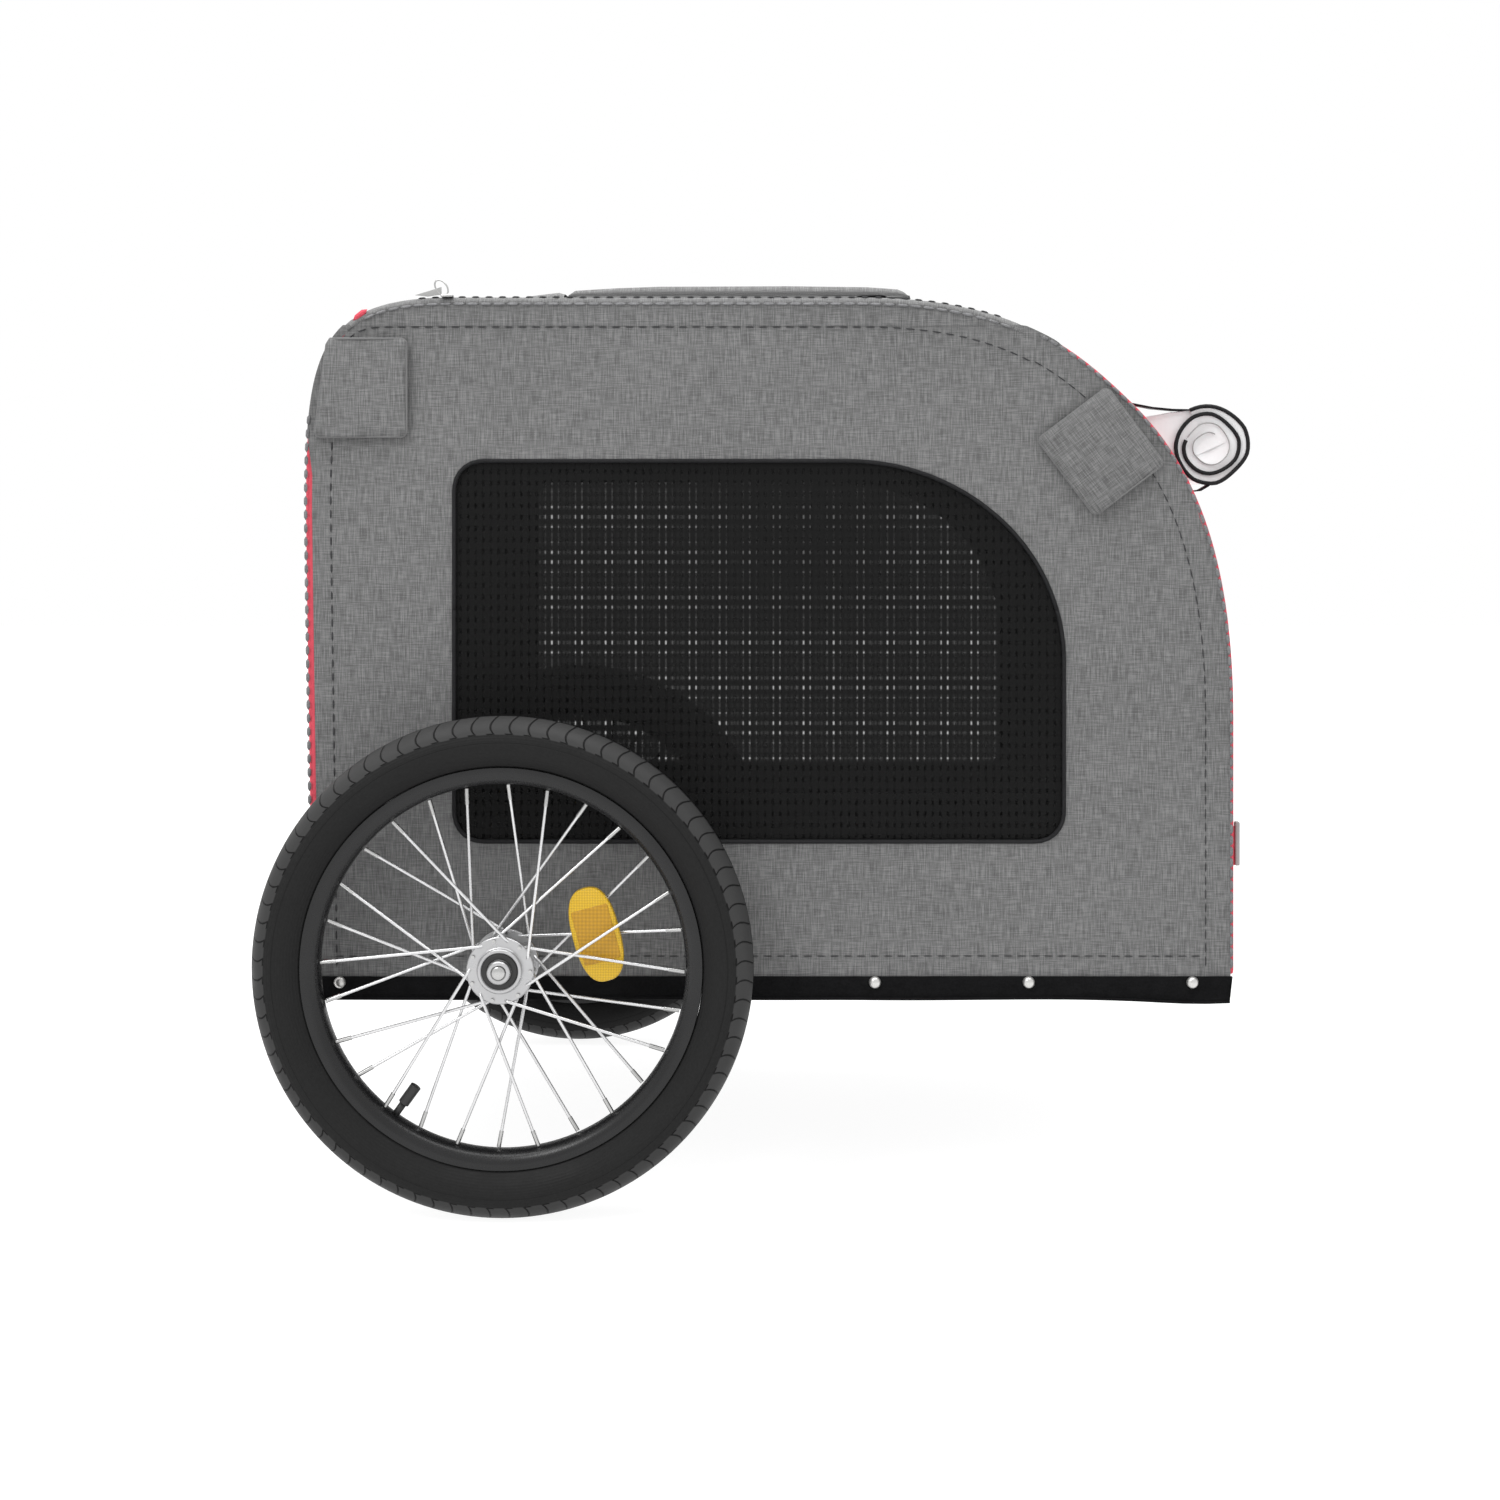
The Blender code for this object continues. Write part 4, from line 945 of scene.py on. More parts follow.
def roof_point(t, v, sink=0.0):
    """Point of the roof cover, t along its line and v across it, round its side edges."""
    point, run = ROOF_RUN.at(t)
    across = abs(v)
    sag = 0.0004 + 0.0010 * noise.noise(Vector((t * 9, v * 9, 4.0))) * max(1 - (across / ROOF_FLAT) ** 4, 0)
    angle = max(across - ROOF_FLAT, 0.0) / ROOF_ROUND
    y = min(across, ROOF_FLAT) + ROOF_ROUND * math.sin(angle)
    depth = sag + sink * math.cos(angle) + ROOF_ROUND * (1 - math.cos(angle))
    y -= sink * math.sin(angle)
    inward = Vector((run.y, -run.x))
    return Vector((REAR_X + point.x + inward.x * depth, math.copysign(y, v), point.y + inward.y * depth))


def build_roof():
    """Roof cover with the hatch opening, the cloth at its sides, and its seams."""
    reach, length = ROOF_REACH, ROOF_RUN.length
    start, end = (next(t for t in np.arange(0, 0.9, 0.001) if ROOF_RUN.at(t)[0].x > s) for s in HATCH_OPENING)
    outline = [(0.0, -reach), (length, -reach), (length, reach), (0.0, reach)]
    opening = rounded(((start + end) / 2, 0), (end - start, HATCH_OPENING_WIDTH), 0.012)
    cloth = Cloth(outline, [opening], step=0.007)
    cloth.make("roof_cover", roof_point, (GREY, LINING), "roof",
               ["roof_panel"], COVER_THICKNESS)
    ring = [roof_point(*p) + Vector((0, 0, 0.0006)) for p in spaced(opening, 0.008, closed=True)]
    rim = tube("hatch_opening_binding", ring, 0.0014, BINDING, closed=True)
    place_piece(rim, "roof", "skirt_fabric")
    for label, side in SIDES.items():
        wall = Cloth(clip(cabin_line(ROOF_ROUND - 0.0008), ROOF_Z - 0.0006, 1), step=0.006)
        wall.make(f"roof_side_{label}", lambda s, z: skin(s, z, side, 0.0004), (GREY, LINING),
                  "roof", thickness=COVER_THICKNESS, rim=False)
        for name, low, high, v, size, thread in (
            ("roof_seam", 0.064, length - 0.012, ROOF_FLAT + 0.0006, (0.0066, 0.0015, 0.0016), THREAD),
            ("roof_overlock", 0.018, length - 0.004, reach - 0.0006, (0.0108, 0.0026, 0.0018), PALE_THREAD),
        ):
            marks = np.arange(low, high, STITCH_PERIOD)
            places = []
            for a, b in zip(marks, marks[1:]):
                first, second = roof_point(a, v * side, -0.0003), roof_point(b, v * side, -0.0003)
                places.append(((first + second) / 2, second - first, Vector((0, side * 0.7, 0.7))))
            place_piece(scatter(f"{name}_{label}", places, size, thread), "roof", "grey_fabric")
    build_hatch()
    build_zip_pull()


def edge_fall(share):
    """How padding keeps its height across a width, and drops at both edges (share -1 and 1)."""
    return (1 - abs(share) ** 30) ** 0.5


def build_hatch():
    """Padded flap over the hatch opening, with its binding and the puckers below its edge."""
    (low_x, _, low_z), (high_x, high_y, high_z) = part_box("roof_hatch")
    half, rise = high_y, high_z - low_z
    crown_x = [low_x + x for x in (0.0, 0.003, 0.039, 0.075, 0.184)]
    crown_x += [high_x - x for x in (0.035, 0.009, 0.0)]
    crown = (0.36, 0.62, 0.84, 0.96, 1.0, 0.92, 0.74, 0.30)
    welt = Cloth([(-0.036, -half), (-0.004, -half), (-0.004, half), (-0.036, half)])

    def on_welt(x, y):
        share = float(np.interp(x, (-0.036, -0.032, -0.008, -0.004), (0.04, 0.26, 0.56, 0.40)))
        return Vector((low_x + x, y, low_z + 0.0004 + (rise - 0.001) * share * edge_fall(y / half)))

    welt.make("hatch_hinge_welt", on_welt, [GREY], "roof")
    rows = []
    for x in np.linspace(low_x, high_x, 58):
        share = float(np.interp(x, crown_x, crown))
        ends = max(min((x - low_x) / 0.004, (high_x - x) / 0.004, 1.0), 0.0) ** 0.5
        row_top, row_bottom = [], []
        for w in np.linspace(-1, 1, 61):
            edge = edge_fall(w)
            dimple = 0.5 + 0.5 * noise.noise(Vector((x * 14, w * 3, 2.0)))
            height = low_z + 0.0008 + (rise - 0.0010) * share * (0.45 + 0.55 * edge * ends)
            height -= 0.0012 * dimple * edge * (1 - w * w)
            row_top.append(Vector((x, w * half, height)))
            row_bottom.append(Vector((x, w * half * 0.998, low_z - 0.0012)))
        rows.append(row_top + row_bottom[::-1])
    flap = grid_mesh("roof_hatch_flap", rows, GREY, closed_rows=True)
    form = bmesh.new()
    form.from_mesh(flap.data)
    bmesh.ops.holes_fill(form, edges=[e for e in form.edges if e.is_boundary], sides=0)
    bmesh.ops.recalc_face_normals(form, faces=form.faces)
    form.to_mesh(flap.data)
    form.free()
    place_piece(flap, "roof_hatch_body", "grey_fabric", "roof_hatch")
    border = rounded(((low_x + high_x) / 2, 0), (high_x - low_x, 2 * half), 0.010)
    cord = tube("roof_hatch_binding",
                [Vector((p.x, p.y, low_z + 0.0012 + 0.0005 * noise.noise(Vector((p.x * 40, p.y * 40, 1)))))
                 for p in spaced(border, 0.006, closed=True)], 0.0011, GREY, closed=True)
    place_piece(cord, "roof_hatch_body", "grey_fabric")
    form, form_faces = lens_form(7, 12)
    points, faces = [], []
    for side in SIDES.values():
        for x, size in ((REAR_X + 0.3845, 0.012), (REAR_X + 0.4640, 0.028)):
            faces += [tuple(len(points) + i for i in face) for face in form_faces]
            points += [Vector((x + p[0] * size, side * (half + 0.0010) + p[1] * 0.003,
                               low_z + 0.0010 + (p[2] + 0.3 * p[0]) * size * 0.12)) for p in form]
    place_piece(link("roof_hatch_puckers", mesh_from("roof_hatch_puckers", points, faces), LINING),
                "roof_hatch_body", "skirt_fabric")


def build_zip_pull():
    """Pale tab that lies across the wire loop of the roof's zip, and the zip's own slider."""
    low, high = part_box("roof_zip_pull")
    x, y, z = high[0], (low[1] + high[1]) / 2 - 0.006, low[2]
    tab = slab("roof_zip_tab", [(-0.0225, 0.0), (-0.0120, -0.0012), (-0.0005, 0.0005), (-0.0008, 0.0068),
                                (-0.0060, 0.0050)], -0.0006, 0.0006, 0.0003, PALE_PLASTIC)
    tab.location = (x, y, z - 0.0010)
    wire = tube("roof_zip_wire", [
        (x - 0.0008 + 0.0050 * cos - 0.0022 * sin, y, z + 0.0052 + 0.0062 * sin) for cos, sin in circle()
    ], 0.0007, PLATED, closed=True)
    place_piece(wire, "roof_zip", "plated_steel", "roof_zip_pull")
    place_piece(tab, "roof_zip", "trim_plastic")
    corner_at = (Vector((REAR_X + 0.0455, -SIDE_Y + 0.0030, 0.7205)), Vector((0.0105, 0, 0.0085)),
                 Vector((0, -1, 0)))
    corner = scatter("roof_corner_tab", [corner_at], (0.0150, 0.0052, 0.0060), RED)
    place_piece(corner, "roof", "red_fabric")
    slider = block("roof_zip_slider", (x + 0.004, y, z - 0.0017), (0.010, 0.009, 0.0022), PLATED, 0.0009)
    place_piece(slider, "roof", "plated_steel")


# ---- doors ----
DOORS = {
    "rear": {"low": 0.1815, "window": (0.300, 0.560), "wrap": 0.0066},
    "front": {"low": 0.1815, "window": (0.260, 0.540), "wrap": 0.0036},
}


def build_door(end):
    """Red cover that follows the cabin's end and turns round its side edges, with its mesh window."""
    shape = DOORS[end]
    run = Run(edge_run(end, shape["low"], 0.7115))
    turn = 1 if end == "rear" else -1
    half = DOOR_HALF

    def put(t, v, sink=0.0):
        point, along = run.at(t)
        inward = Vector((along.y, -along.x)) * turn
        across = abs(v)
        wave = 0.0009 * noise.noise(Vector((t * 9, v * 9, 5.0 * turn))) * max(1 - (across / half) ** 6, 0.0)
        depth = sink + 0.0005 + wave + max(across - half, 0.0)
        y = min(across, half) + min(max(across - half, 0.0) / 0.0015, 1.0) * 0.0002
        return Vector((REAR_X + point.x + inward.x * depth, math.copysign(y, v), point.y + inward.y * depth))

    levels = np.linspace(0, run.length, 400)
    low, high = (float(next(t for t in levels if run.at(t)[0].y > z)) for z in shape["window"])
    reach = half + shape["wrap"]
    outline = [(0.0, -reach), (run.length, -reach), (run.length, reach), (0.0, reach)]
    opening = rounded(((low + high) / 2, 0), (high - low, 0.340), 0.030)
    cloth = Cloth(outline, [opening], step=0.007)
    body = f"{end}_door_body"
    cloth.make(f"{end}_door_cover", put, (RED, RED),
               body, [f"{end}_door"], 0.0010)
    mesh = Cloth(rounded(((low + high) / 2, 0), (high - low + 0.006, 0.346), 0.033), step=0.012)
    mesh.make(f"{end}_door_window", lambda t, v: put(t, v, 0.0012), [MESH],
              body, [f"{end}_door_mesh"])
    ring = [tuple(p) for p in spaced(opening, 0.006, closed=True)]
    cord = tube(f"{end}_door_piping", [put(*p, -0.0004) for p in ring], 0.0019, BINDING, closed=True)
    place_piece(cord, body, "skirt_fabric")
    inset = rounded(((low + high) / 2, 0), (high - low - 0.022, 0.318), 0.020)
    count = 150
    rows = [[put(*a.lerp(b, share), 0.0020) for share in (0.0, 1.0)]
            for a, b in zip(resampled(opening + opening[:1], count), resampled(inset + inset[:1], count))]
    place_piece(grid_mesh(f"{end}_door_hem", rows, LINING), body, "skirt_fabric")
    for label, side in SIDES.items():
        v = side * ZIP_Y
        marks = np.arange(0.012, run.length - 0.02, 0.0022)
        tape_rows = [[put(t, v + w, -0.0007) for w in (-0.0085, 0.0, 0.0085)]
                     for t in np.arange(0.006, run.length - 0.012, 0.006)]
        place_piece(grid_mesh(f"{end}_zip_tape_{label}", tape_rows, BINDING), body, "trim_plastic")
        teeth = []
        for index, t in enumerate(marks):
            shift = 0.0008 * (1 if index % 2 else -1)
            centre, ahead = put(t, v + shift, -0.0012), put(t + 0.001, v + shift, -0.0012)
            normal = (ahead - centre).normalized().cross(Vector((0, 1, 0)))
            teeth.append((centre, Vector((0, 1, 0)), normal))
        place_piece(scatter(f"{end}_zip_teeth_{label}", teeth, (0.0034, 0.0011, 0.0016), PLASTIC),
                    body, "trim_plastic")
        seam = [(t, side * DOOR_STITCH_Y) for t in (0.012, run.length - 0.012)]
        rows = [put(*place, -0.0003) for place in spaced(seam, STITCH_PERIOD)]
        places = [((a + b) / 2, b - a, (b - a).cross(Vector((0, 1, 0))).normalized())
                  for a, b in zip(rows, rows[1:])]
        place_piece(scatter(f"{end}_door_stitches_{label}", places, (0.0062, 0.0014, 0.0008), THREAD),
                    body, "red_fabric")


def build_roll():
    """Clear rain cover, rolled up over the front, with its black binding and two straps."""
    low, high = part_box("rain_cover_roll")
    cx, cz, half = (low[0] + high[0]) / 2, (low[2] + high[2]) / 2, high[1]
    cx, cz = cx - 0.0015, cz - 0.0012
    outer = (high[0] - low[0]) / 2 * 1.145

    def turn(angle, share):
        """Point of the spiral: a rounded diamond that winds in."""
        radius = outer * (1 - 0.68 * share)
        diamond = 1.0 - 0.05 * (1 - math.cos(4 * angle)) / 2 + 0.035 * math.sin(3 * angle + 5 * share)
        return radius * min(diamond, 1.0) * math.cos(angle), radius * min(diamond, 1.0) * math.sin(angle)

    turns, steps = 3.15, 150
    spiral = []
    for step in range(steps + 1):
        share = step / steps
        angle = math.radians(118) - math.tau * turns * share
        stair = (math.floor(share * 6) + min((share * 6 % 1) * 1.6, 1.0)) / 6 * 0.25 + share * 0.75
        spiral.append(turn(angle, stair))
    anchor = [(REAR_X + 0.690 - cx, 0.6375 - cz), (REAR_X + 0.712 - cx, 0.6420 - cz)]
    path = spaced(anchor + spiral, 0.0035)
    rows = []
    for y in np.linspace(-half, half, 36):
        sway = 0.0006 * noise.noise(Vector((0.3, y * 11, 2.2)))
        rows.append([Vector((cx + p.x * (1 + sway * 20), y, cz + p.y + sway)) for p in path])
    roll = grid_mesh("rain_cover_film", rows, FILM)
    place_piece(roll, "front_door_body", "clear_vinyl", "rain_cover_roll")
    for label, side in SIDES.items():
        y = side * (half - 0.0012)
        edge = [Vector((cx + p[0], y, cz + p[1])) for p in spiral]
        cut = int(len(edge) * 0.60)
        binding = tube(f"rain_cover_binding_{label}", edge[:cut], 0.0017, BINDING)
        place_piece(binding, "front_door_body", "skirt_fabric")
        fan = [[Vector((cx + p[0] * share, y - side * (0.0012 + 0.004 * (1 - share)), cz + p[1] * share))
                for share in (1.0, 0.75, 0.5, 0.25, 0.02)] for p in spiral[:int(steps / turns) + 2]]
        end = grid_mesh(f"rain_cover_layers_{label}", fan, LAYERS)
        place_piece(end, "front_door_body", "clear_vinyl")
        hang = [(p[0] - cx + REAR_X, p[1] - cz) for p in edge_run("front", 0.598, 0.6385, -0.0012)[::-1]]
        fold_rows = []
        for a, b in zip(resampled(hang, 16), resampled(spiral[:int(steps / turns * 0.30)], 16)):
            places = [a.lerp(b, share) for share in (0.0, 0.3, 0.6, 0.97)]
            fold_rows.append([Vector((cx + p.x, y - side * 0.003, cz + p.y)) for p in places])
        fold = grid_mesh(f"rain_cover_fold_{label}", fold_rows, LAYERS)
        place_piece(fold, "front_door_body", "clear_vinyl")
        core = tube(f"rain_cover_core_{label}", edge[cut:], 0.0005, PALE_PLASTIC, sides=6)
        place_piece(core, "front_door_body", "clear_vinyl")
        for name, ends in (
            ("upper", [(0.6830, 0.6505), (0.700, 0.6472), (0.717, 0.6456), (0.7340, 0.6452)]),
            ("lower", [(0.7345, 0.5775), (0.740, 0.5780), (0.746, 0.5815), (0.750, 0.5850)]),
        ):
            strap = [[Vector((REAR_X + s, side * y0, z)) for y0 in (half - 0.020, half - 0.001)]
                     for s, z in ends]
            band_piece = grid_mesh(f"rain_cover_strap_{name}_{label}", strap, BINDING)
            shell = band_piece.modifiers.new("thickness", "SOLIDIFY")
            shell.thickness = 0.0012
            place_piece(band_piece, "front_door_body", "skirt_fabric")


def build_front_zip():
    """Pull tab of the front door's zip, with the red cloth loop behind it."""
    low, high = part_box("front_zip_pull")
    centre = [(a + b) / 2 for a, b in zip(low, high)]
    centre[2] += 0.0080
    tab = block("front_zip_tab", (centre[0] + 0.0042, centre[1], centre[2] - 0.001),
                (0.0040, 0.0072, 0.036), PALE_PLASTIC, 0.0012)
    place_piece(tab, "front_zip", "trim_plastic", "front_zip_pull")
    loop = tube("front_zip_loop", [
        (centre[0] - 0.0005, centre[1] + 0.0020 * cos, high[2] + 0.002 + 0.006 * sin)
        for cos, sin in circle(steps=16)
    ], 0.0008, PLATED, closed=True)
    place_piece(loop, "front_zip", "plated_steel")
    strip = block("front_zip_cord", (centre[0] + 0.0012, centre[1] + 0.0015, centre[2] - 0.003),
                  (0.0034, 0.0052, 0.032), RED, 0.0008)
    place_piece(strip, "front_door_body", "red_fabric")


# ---- skirt ----
def build_skirt():
    """Black strips round the floor frame, with a rolled lip, and rivets along both sides."""
    low_rear, low_front = 0.0065, 0.7562
    for label, side in SIDES.items():
        top = [(0.0060, SKIRT_TOP - 0.0005), (0.7585, SKIRT_TOP - 0.0005)]
        bottom = []
        for step in range(41):
            s = low_front - (low_front - low_rear) * step / 40
            dip = 0.0028 * math.exp(-((s - 0.735) / 0.055) ** 2)
            dip += 0.0009 * noise.noise(Vector((s * 9, 2, side)))
            bottom.append((s, BODY_BOTTOM + 0.0012 - dip))
        cloth = Cloth(top + bottom, step=0.006)
        cloth.make(f"skirt_strip_{label}", lambda s, z: skin(s, z, side, 0.0021), [BLACK],
                   "base", [f"skirt_{label}"], 0.0024)
        lip = tube(f"skirt_lip_{label}", [skin(*p, side, 0.0014) for p in bottom], 0.0014, BLACK)
        place_piece(lip, "base", "skirt_fabric")
        dome = [(0.0, 0.0042), (0.0018, 0.0040), (0.0034, 0.0033), (0.0045, 0.0021), (0.0049, 0.0008),
                (0.0049, -0.0006), (0.0, -0.0006)]
        for number, station in enumerate(RIVETS):
            rivet = lathe(f"skirt_rivet_{label}_{number}", dome, 28, PALE_METAL, closed=False)
            rivet.location = skin(station, RIVET_Z, side, 0.0023)
            rivet.rotation_euler = (0, 0, 0 if side < 0 else math.pi)
            place_piece(rivet, "base", "plated_steel")
    low, high = BODY_BOTTOM + 0.0010, SKIRT_TOP + 0.001
    corners = [(-SKIRT_HALF, low), (SKIRT_HALF, low), (SKIRT_HALF, high), (-SKIRT_HALF, high)]
    cloth = Cloth(corners, step=0.008)
    for end, station in SKIRT_ENDS.items():

        def put(y, z, station=station, out=-1 if end == "rear" else 1):
            wave = noise.noise(Vector((y * 12, z * 9, 1)))
            return Vector((REAR_X + station + out * (0.0008 + 0.0006 * wave), y, z))

        cloth.make(f"skirt_strip_{end}", put, [BLACK], "base",
                   [f"skirt_{end}"], 0.0020)
        lip = tube(f"skirt_lip_{end}", [(REAR_X + station, y, BODY_BOTTOM + 0.0012)
                                        for y in np.linspace(-SKIRT_HALF, SKIRT_HALF, 40)], 0.0014, BLACK)
        place_piece(lip, "base", "skirt_fabric")


# ---- wheels ----
def build_wheel(label):
    """Tyre, rim, hub, crossed spokes, quick-release axle, reflector and valve."""
    side = SIDES[label]
    spin, pull, press = f"wheel_{label}", f"axle_{label}_body", f"axle_button_{label}_body"
    centre = Vector((REAR_X + AXLE_STATION, side * WHEEL_Y, WHEEL_RADIUS))

    def fit(piece, body, slot, *nodes):
        """Put a piece made about the origin, outward -Y, on this wheel."""
        piece.data.transform(Matrix.Rotation(0 if side < 0 else math.pi, 4, "Z"))
        piece.location = centre
        place_piece(piece, body, slot, *nodes)

    half = [(0.1592, 0.0112), (0.1625, 0.0140), (0.1670, 0.0178), (0.1725, 0.0206), (0.1785, 0.0218),
            (0.1840, 0.0210), (0.1885, 0.0192), (0.1900, 0.0186), (0.1935, 0.0152), (0.1962, 0.0108),
            (0.1980, 0.0058), (0.1988, 0.0)]
    inner = [(0.1594, 0.0080), (0.1710, 0.0165), (0.1800, 0.0185), (0.1880, 0.0155), (0.1930, 0.0080)]
    section = half + [(r, -w) for r, w in half[-2::-1]] + [(r, -w) for r, w in inner] + inner[::-1]
    fit(lathe(f"tyre_{label}_skin", section, 160, RUBBER, sharp=50), spin, "tyre", f"tyre_{label}")
    bead = [(0.1450, 0.0040), (0.1456, 0.0072), (0.1478, 0.0100), (0.1512, 0.0126), (0.1550, 0.0131),
            (0.1586, 0.0129), (0.1590, 0.0120), (0.1586, 0.0110), (0.1525, 0.0107), (0.1492, 0.0085),
            (0.1478, 0.0050)]
    section = bead + [(r, -w) for r, w in bead[::-1]]
    fit(lathe(f"rim_{label}_section", section, 160, RIM, sharp=50), spin, "rim", f"rim_{label}")
    shell = [(0.0142, 0.0214), (0.0150, 0.0220), (0.0168, 0.0219), (0.0175, 0.0212), (0.0177, 0.0186),
             (0.0184, 0.0180), (0.0258, 0.0180), (0.0265, 0.0174), (0.0266, 0.0158), (0.0260, 0.0151),
             (0.0190, 0.0143), (0.0160, 0.0120), (0.0150, 0.0080), (0.0148, 0.0)]
    section = shell + [(r, -w) for r, w in shell[-2::-1]] + [(0.0140, -0.0205), (0.0140, 0.0205)]
    fit(lathe(f"hub_{label}_shell", section, 96, HUB), spin, "hub_and_spokes", f"hub_{label}")
    pitch = math.tau / SPOKES_PER_FLANGE
    wires, nipples, heads = [], [], []
    for flange in (1, -1):
        def at(radius, angle, width):
            return Vector((radius * math.cos(angle), side * flange * width, radius * math.sin(angle)))

        for number in range(SPOKES_PER_FLANGE):
            hole = FIRST_SPOKE + (number + (0.5 if flange < 0 else 0.0)) * pitch
            trail = -1 if number % 2 else 1
            tip = hole + SPOKE_CROSSING * pitch * trail
            seat = 0.0165 + 0.0022 * trail
            start, end = at(FLANGE_RADIUS, hole, seat), at(RIM_SEAT, tip, 0.0030)
            bend = start.lerp(end, 0.018)
            through = at(0.0238, hole, 0.0165 - 0.0016 * trail)
            wires.append([through, start.lerp(through, 0.3), bend, end])
            nipples.append((start.lerp(end, 0.905), end))
            heads.append((at(0.0238, hole, 0.0165 - 0.0022 * trail), flange * side * -trail))
    group(f"spokes_{label}", [(path, SPOKE_RADIUS) for path in wires], SPOKE, 8, centre, spin)
    nipples = [([a, a.lerp(b, 0.15), b], NIPPLE_RADIUS) for a, b in nipples]
    group(f"nipples_{label}", nipples, PLATED, 8, centre, spin)
    group(f"spoke_heads_{label}",
          [([p, p + Vector((0, out * 0.0011, 0))], 0.0015) for p, out in heads], PLATED, 12, centre, spin)
    seal = [(0.0094, 0.0216), (0.0100, 0.0221), (0.0130, 0.0221), (0.0139, 0.0216), (0.0139, 0.0204),
            (0.0094, 0.0204)]
    fit(lathe(f"hub_{label}_seal", seal, 64, SEAL), spin, "trim_plastic")
    head = [(0.0, 0.0238), (0.0056, 0.0238), (0.0056, 0.0270), (0.0062, 0.0275), (0.0083, 0.0275),
            (0.0091, 0.0268), (0.0092, 0.0225), (0.0086, 0.0217), (0.0060, 0.0215), (0.0060, -0.0220),
            (0.0096, -0.0220), (0.0100, -0.0226), (0.0100, -0.0329), (0.0096, -0.0335), (0.0060, -0.0335),
            (0.0060, -0.1110), (0.0050, -0.1128), (0.0, -0.1138)]
    fit(lathe(f"axle_{label}_pin", head, 64, HUB, closed=False), pull, "plated_steel", f"axle_{label}")
    knob = [(0.0, 0.0294), (0.0020, 0.0293), (0.0040, 0.0290), (0.0050, 0.0283), (0.0053, 0.0276),
            (0.0053, 0.0262), (0.0, 0.0262)]
    fit(lathe(f"axle_button_{label}_cap", knob, 48, PLATED, closed=False), press, "plated_steel",
        f"axle_button_{label}")
    build_reflector(label, spin, centre)
    out = Vector((math.cos(VALVE_TURN), 0, math.sin(VALVE_TURN)))
    stem = [centre + out * r for r in (0.146, 0.134, 0.1335, 0.118, 0.1175)]
    for name, path, radius in (("stem", stem[:2], 0.0030), ("cap", stem[1:], 0.0045)):
        place_piece(tube(f"valve_{name}_{label}", path, radius, VALVE, sides=14), spin, "trim_plastic")


def group(name, cords, material, sides, centre, body):
    """Several cords as one piece on a wheel."""
    parts = [tube(name, path, radius, material, sides=sides) for path, radius in cords]
    form = bmesh.new()
    for part in parts:
        form.from_mesh(part.data)
        bpy.data.objects.remove(part)
    mesh = bpy.data.meshes.new(name)
    form.to_mesh(mesh)
    form.free()
    mesh.shade_smooth()
    mesh.set_sharp_from_angle(angle=math.radians(50))
    piece = link(name, mesh, material)
    piece.location = centre
    place_piece(piece, body, "hub_and_spokes")


def oval(centre, length, width, tilt, steps=48):
    """Long outline with full round ends and slightly bowed sides."""
    points = []
    for cos, sin in circle(steps=steps):
        x = length / 2 * math.copysign(abs(cos) ** 0.8, cos)
        z = width / 2 * math.copysign(abs(sin) ** 0.75, sin)
        points.append(turned(centre, x, z, tilt))
    return points


def slab(name, outline, low, high, soft, material):
    """Flat outline in X and Z made into a plate along Y, with soft edges."""
    form = bmesh.new()
    face = form.faces.new([form.verts.new((x, low, z)) for x, z in outline])
    found = bmesh.ops.extrude_face_region(form, geom=[face])
    moved = [v for v in found["geom"] if isinstance(v, bmesh.types.BMVert)]
    bmesh.ops.translate(form, verts=moved, vec=(0, high - low, 0))
    bmesh.ops.recalc_face_normals(form, faces=form.faces)
    rims = [e for e in form.edges if abs(e.verts[0].co.y - e.verts[1].co.y) < 1e-6]
    bmesh.ops.bevel(form, geom=rims, offset=soft, segments=3, affect="EDGES", profile=0.5)
    mesh = bpy.data.meshes.new(name)
    form.to_mesh(mesh)
    form.free()
    mesh.shade_smooth()
    mesh.set_sharp_from_angle(angle=math.radians(40))
    return link(name, mesh, material)


def build_reflector(label, body, centre):
    """Amber reflector clipped between the spokes: a rimmed capsule with a darker middle panel."""
    at = (0.0740, 0.0256)
    tilt = math.radians(105)
    for name, outline, half, soft, material, replaced in (
        ("body", oval(at, 0.0757, 0.0375, tilt), 0.0038, 0.0014, AMBER, [f"reflector_{label}"]),
        ("panel", rounded(at, (0.044, 0.030), 0.002, tilt), 0.0043, 0.0006, AMBER_CORE, []),
    ):
        piece = slab(f"reflector_{label}_{name}", outline, -half, half, soft, material)
        piece.location = centre
        place_piece(piece, body, "reflector", *replaced)


# ---- carried-over frame parts ----
FINISHES = {"floor_board": BOARD}
for name in ("drawbar_plunger", "hitch_coupler", "hitch_pin", "bearings_left", "bearings_right"):
    FINISHES[name] = PLATED


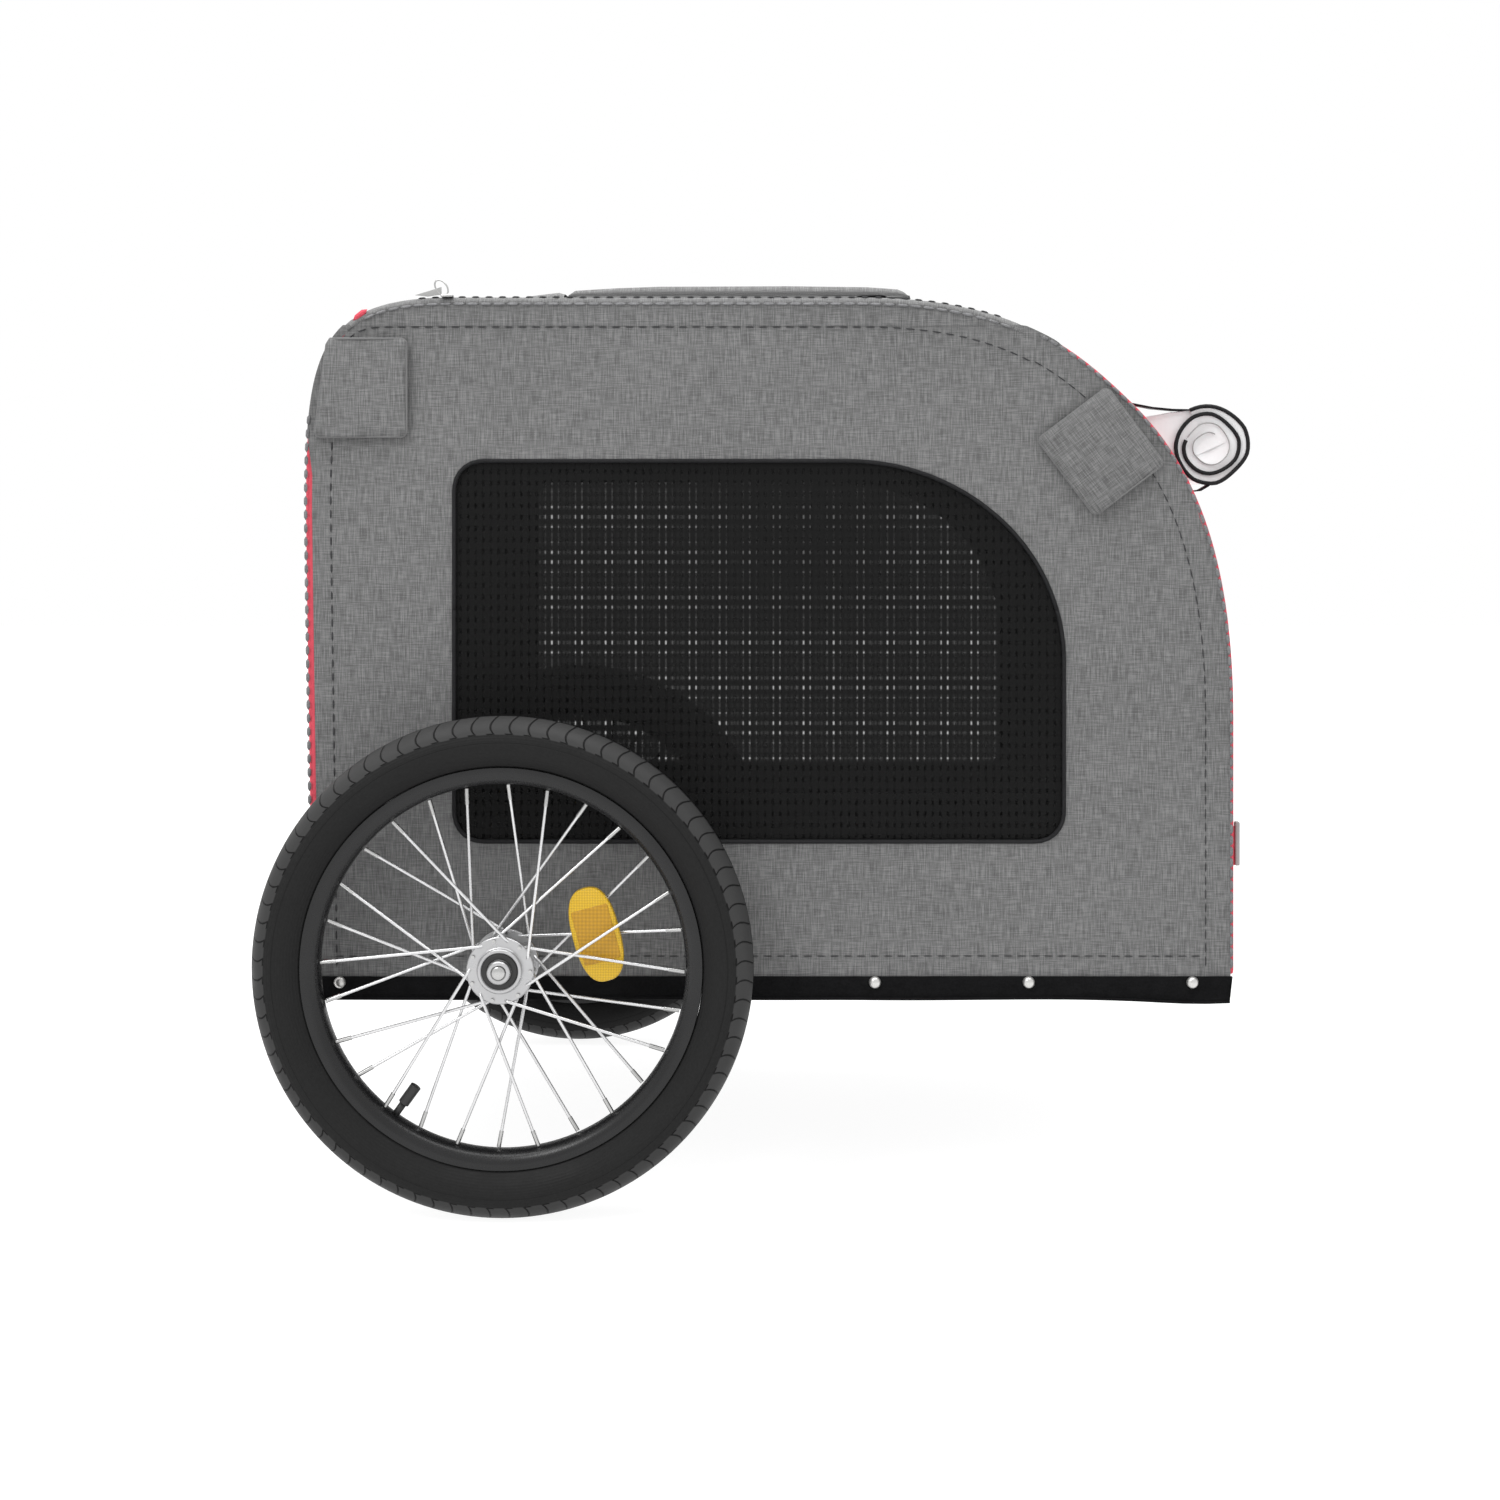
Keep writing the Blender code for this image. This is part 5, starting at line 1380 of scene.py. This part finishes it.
def finish_nodes():
    for node in [o for o in bpy.data.objects if "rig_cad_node" in o and not o.hide_render]:
        node.data.materials.clear()
        node.data.materials.append(FINISHES.get(node.name, STEEL))


# ---- stage, light and camera ----
def build_stage():
    paint = Graph("pale_floor")
    mottle = paint.ramp(paint.noise(paint.place, (3, 3, 3), 3.0), (0.3, 0.25), (0.7, 0.28))
    glow = paint.add("ShaderNodeEmission", {"Color": (1, 1, 1, 1), "Strength": 0.90}).outputs[0]
    both = paint.add("ShaderNodeAddShader", {0: paint.surface(mottle, 0.9, specular=0.1), 1: glow}).outputs[0]
    span = (-9, -3, 3, 9)
    floor = grid_mesh("floor", [[Vector((x, y, -0.0005)) for y in span] for x in span], paint.finish(both))
    world = bpy.data.worlds.new("studio")
    bpy.context.scene.world = world
    world.use_nodes = True
    background = world.node_tree.nodes["Background"]
    background.inputs["Color"].default_value = (1, 1, 1, 1)
    background.inputs["Strength"].default_value = 1.0
    for name, place, aim, size, power in (
        ("overhead", (0.0, 0.2, 3.0), (0.0, 0.1, 0.0), 3.2, 125),
        ("key", (-1.6, -2.2, 2.6), (0.0, 0.0, 0.4), 1.1, 30),
    ):
        light = bpy.data.lights.new(name, "AREA")
        light.size = size
        light.energy = power
        lamp = bpy.data.objects.new(name, light)
        bpy.context.scene.collection.objects.link(lamp)
        lamp.location = place
        lamp.rotation_euler = (Vector(aim) - Vector(place)).to_track_quat("-Z", "Y").to_euler()
    camera = bpy.data.cameras.new("camera")
    camera.lens = 52.63
    camera.sensor_width = 36.0
    camera.shift_x = -0.0367
    camera.shift_y = -0.156
    eye = bpy.data.objects.new("camera", camera)
    bpy.context.scene.collection.objects.link(eye)
    eye.location = (REAR_X + 0.4095, -2.036, 0.556)
    eye.rotation_euler = (math.radians(90), 0, 0)
    bpy.context.scene.camera = eye
    bpy.context.scene.view_settings.view_transform = "Standard"


for name in SIDES:
    build_side(name)
    build_side_trim(name)
    build_corner_flaps(name)
build_roof()
for name in DOORS:
    build_door(name)
build_roll()
build_front_zip()
build_skirt()
for name in SIDES:
    build_wheel(name)
finish_nodes()
build_stage()
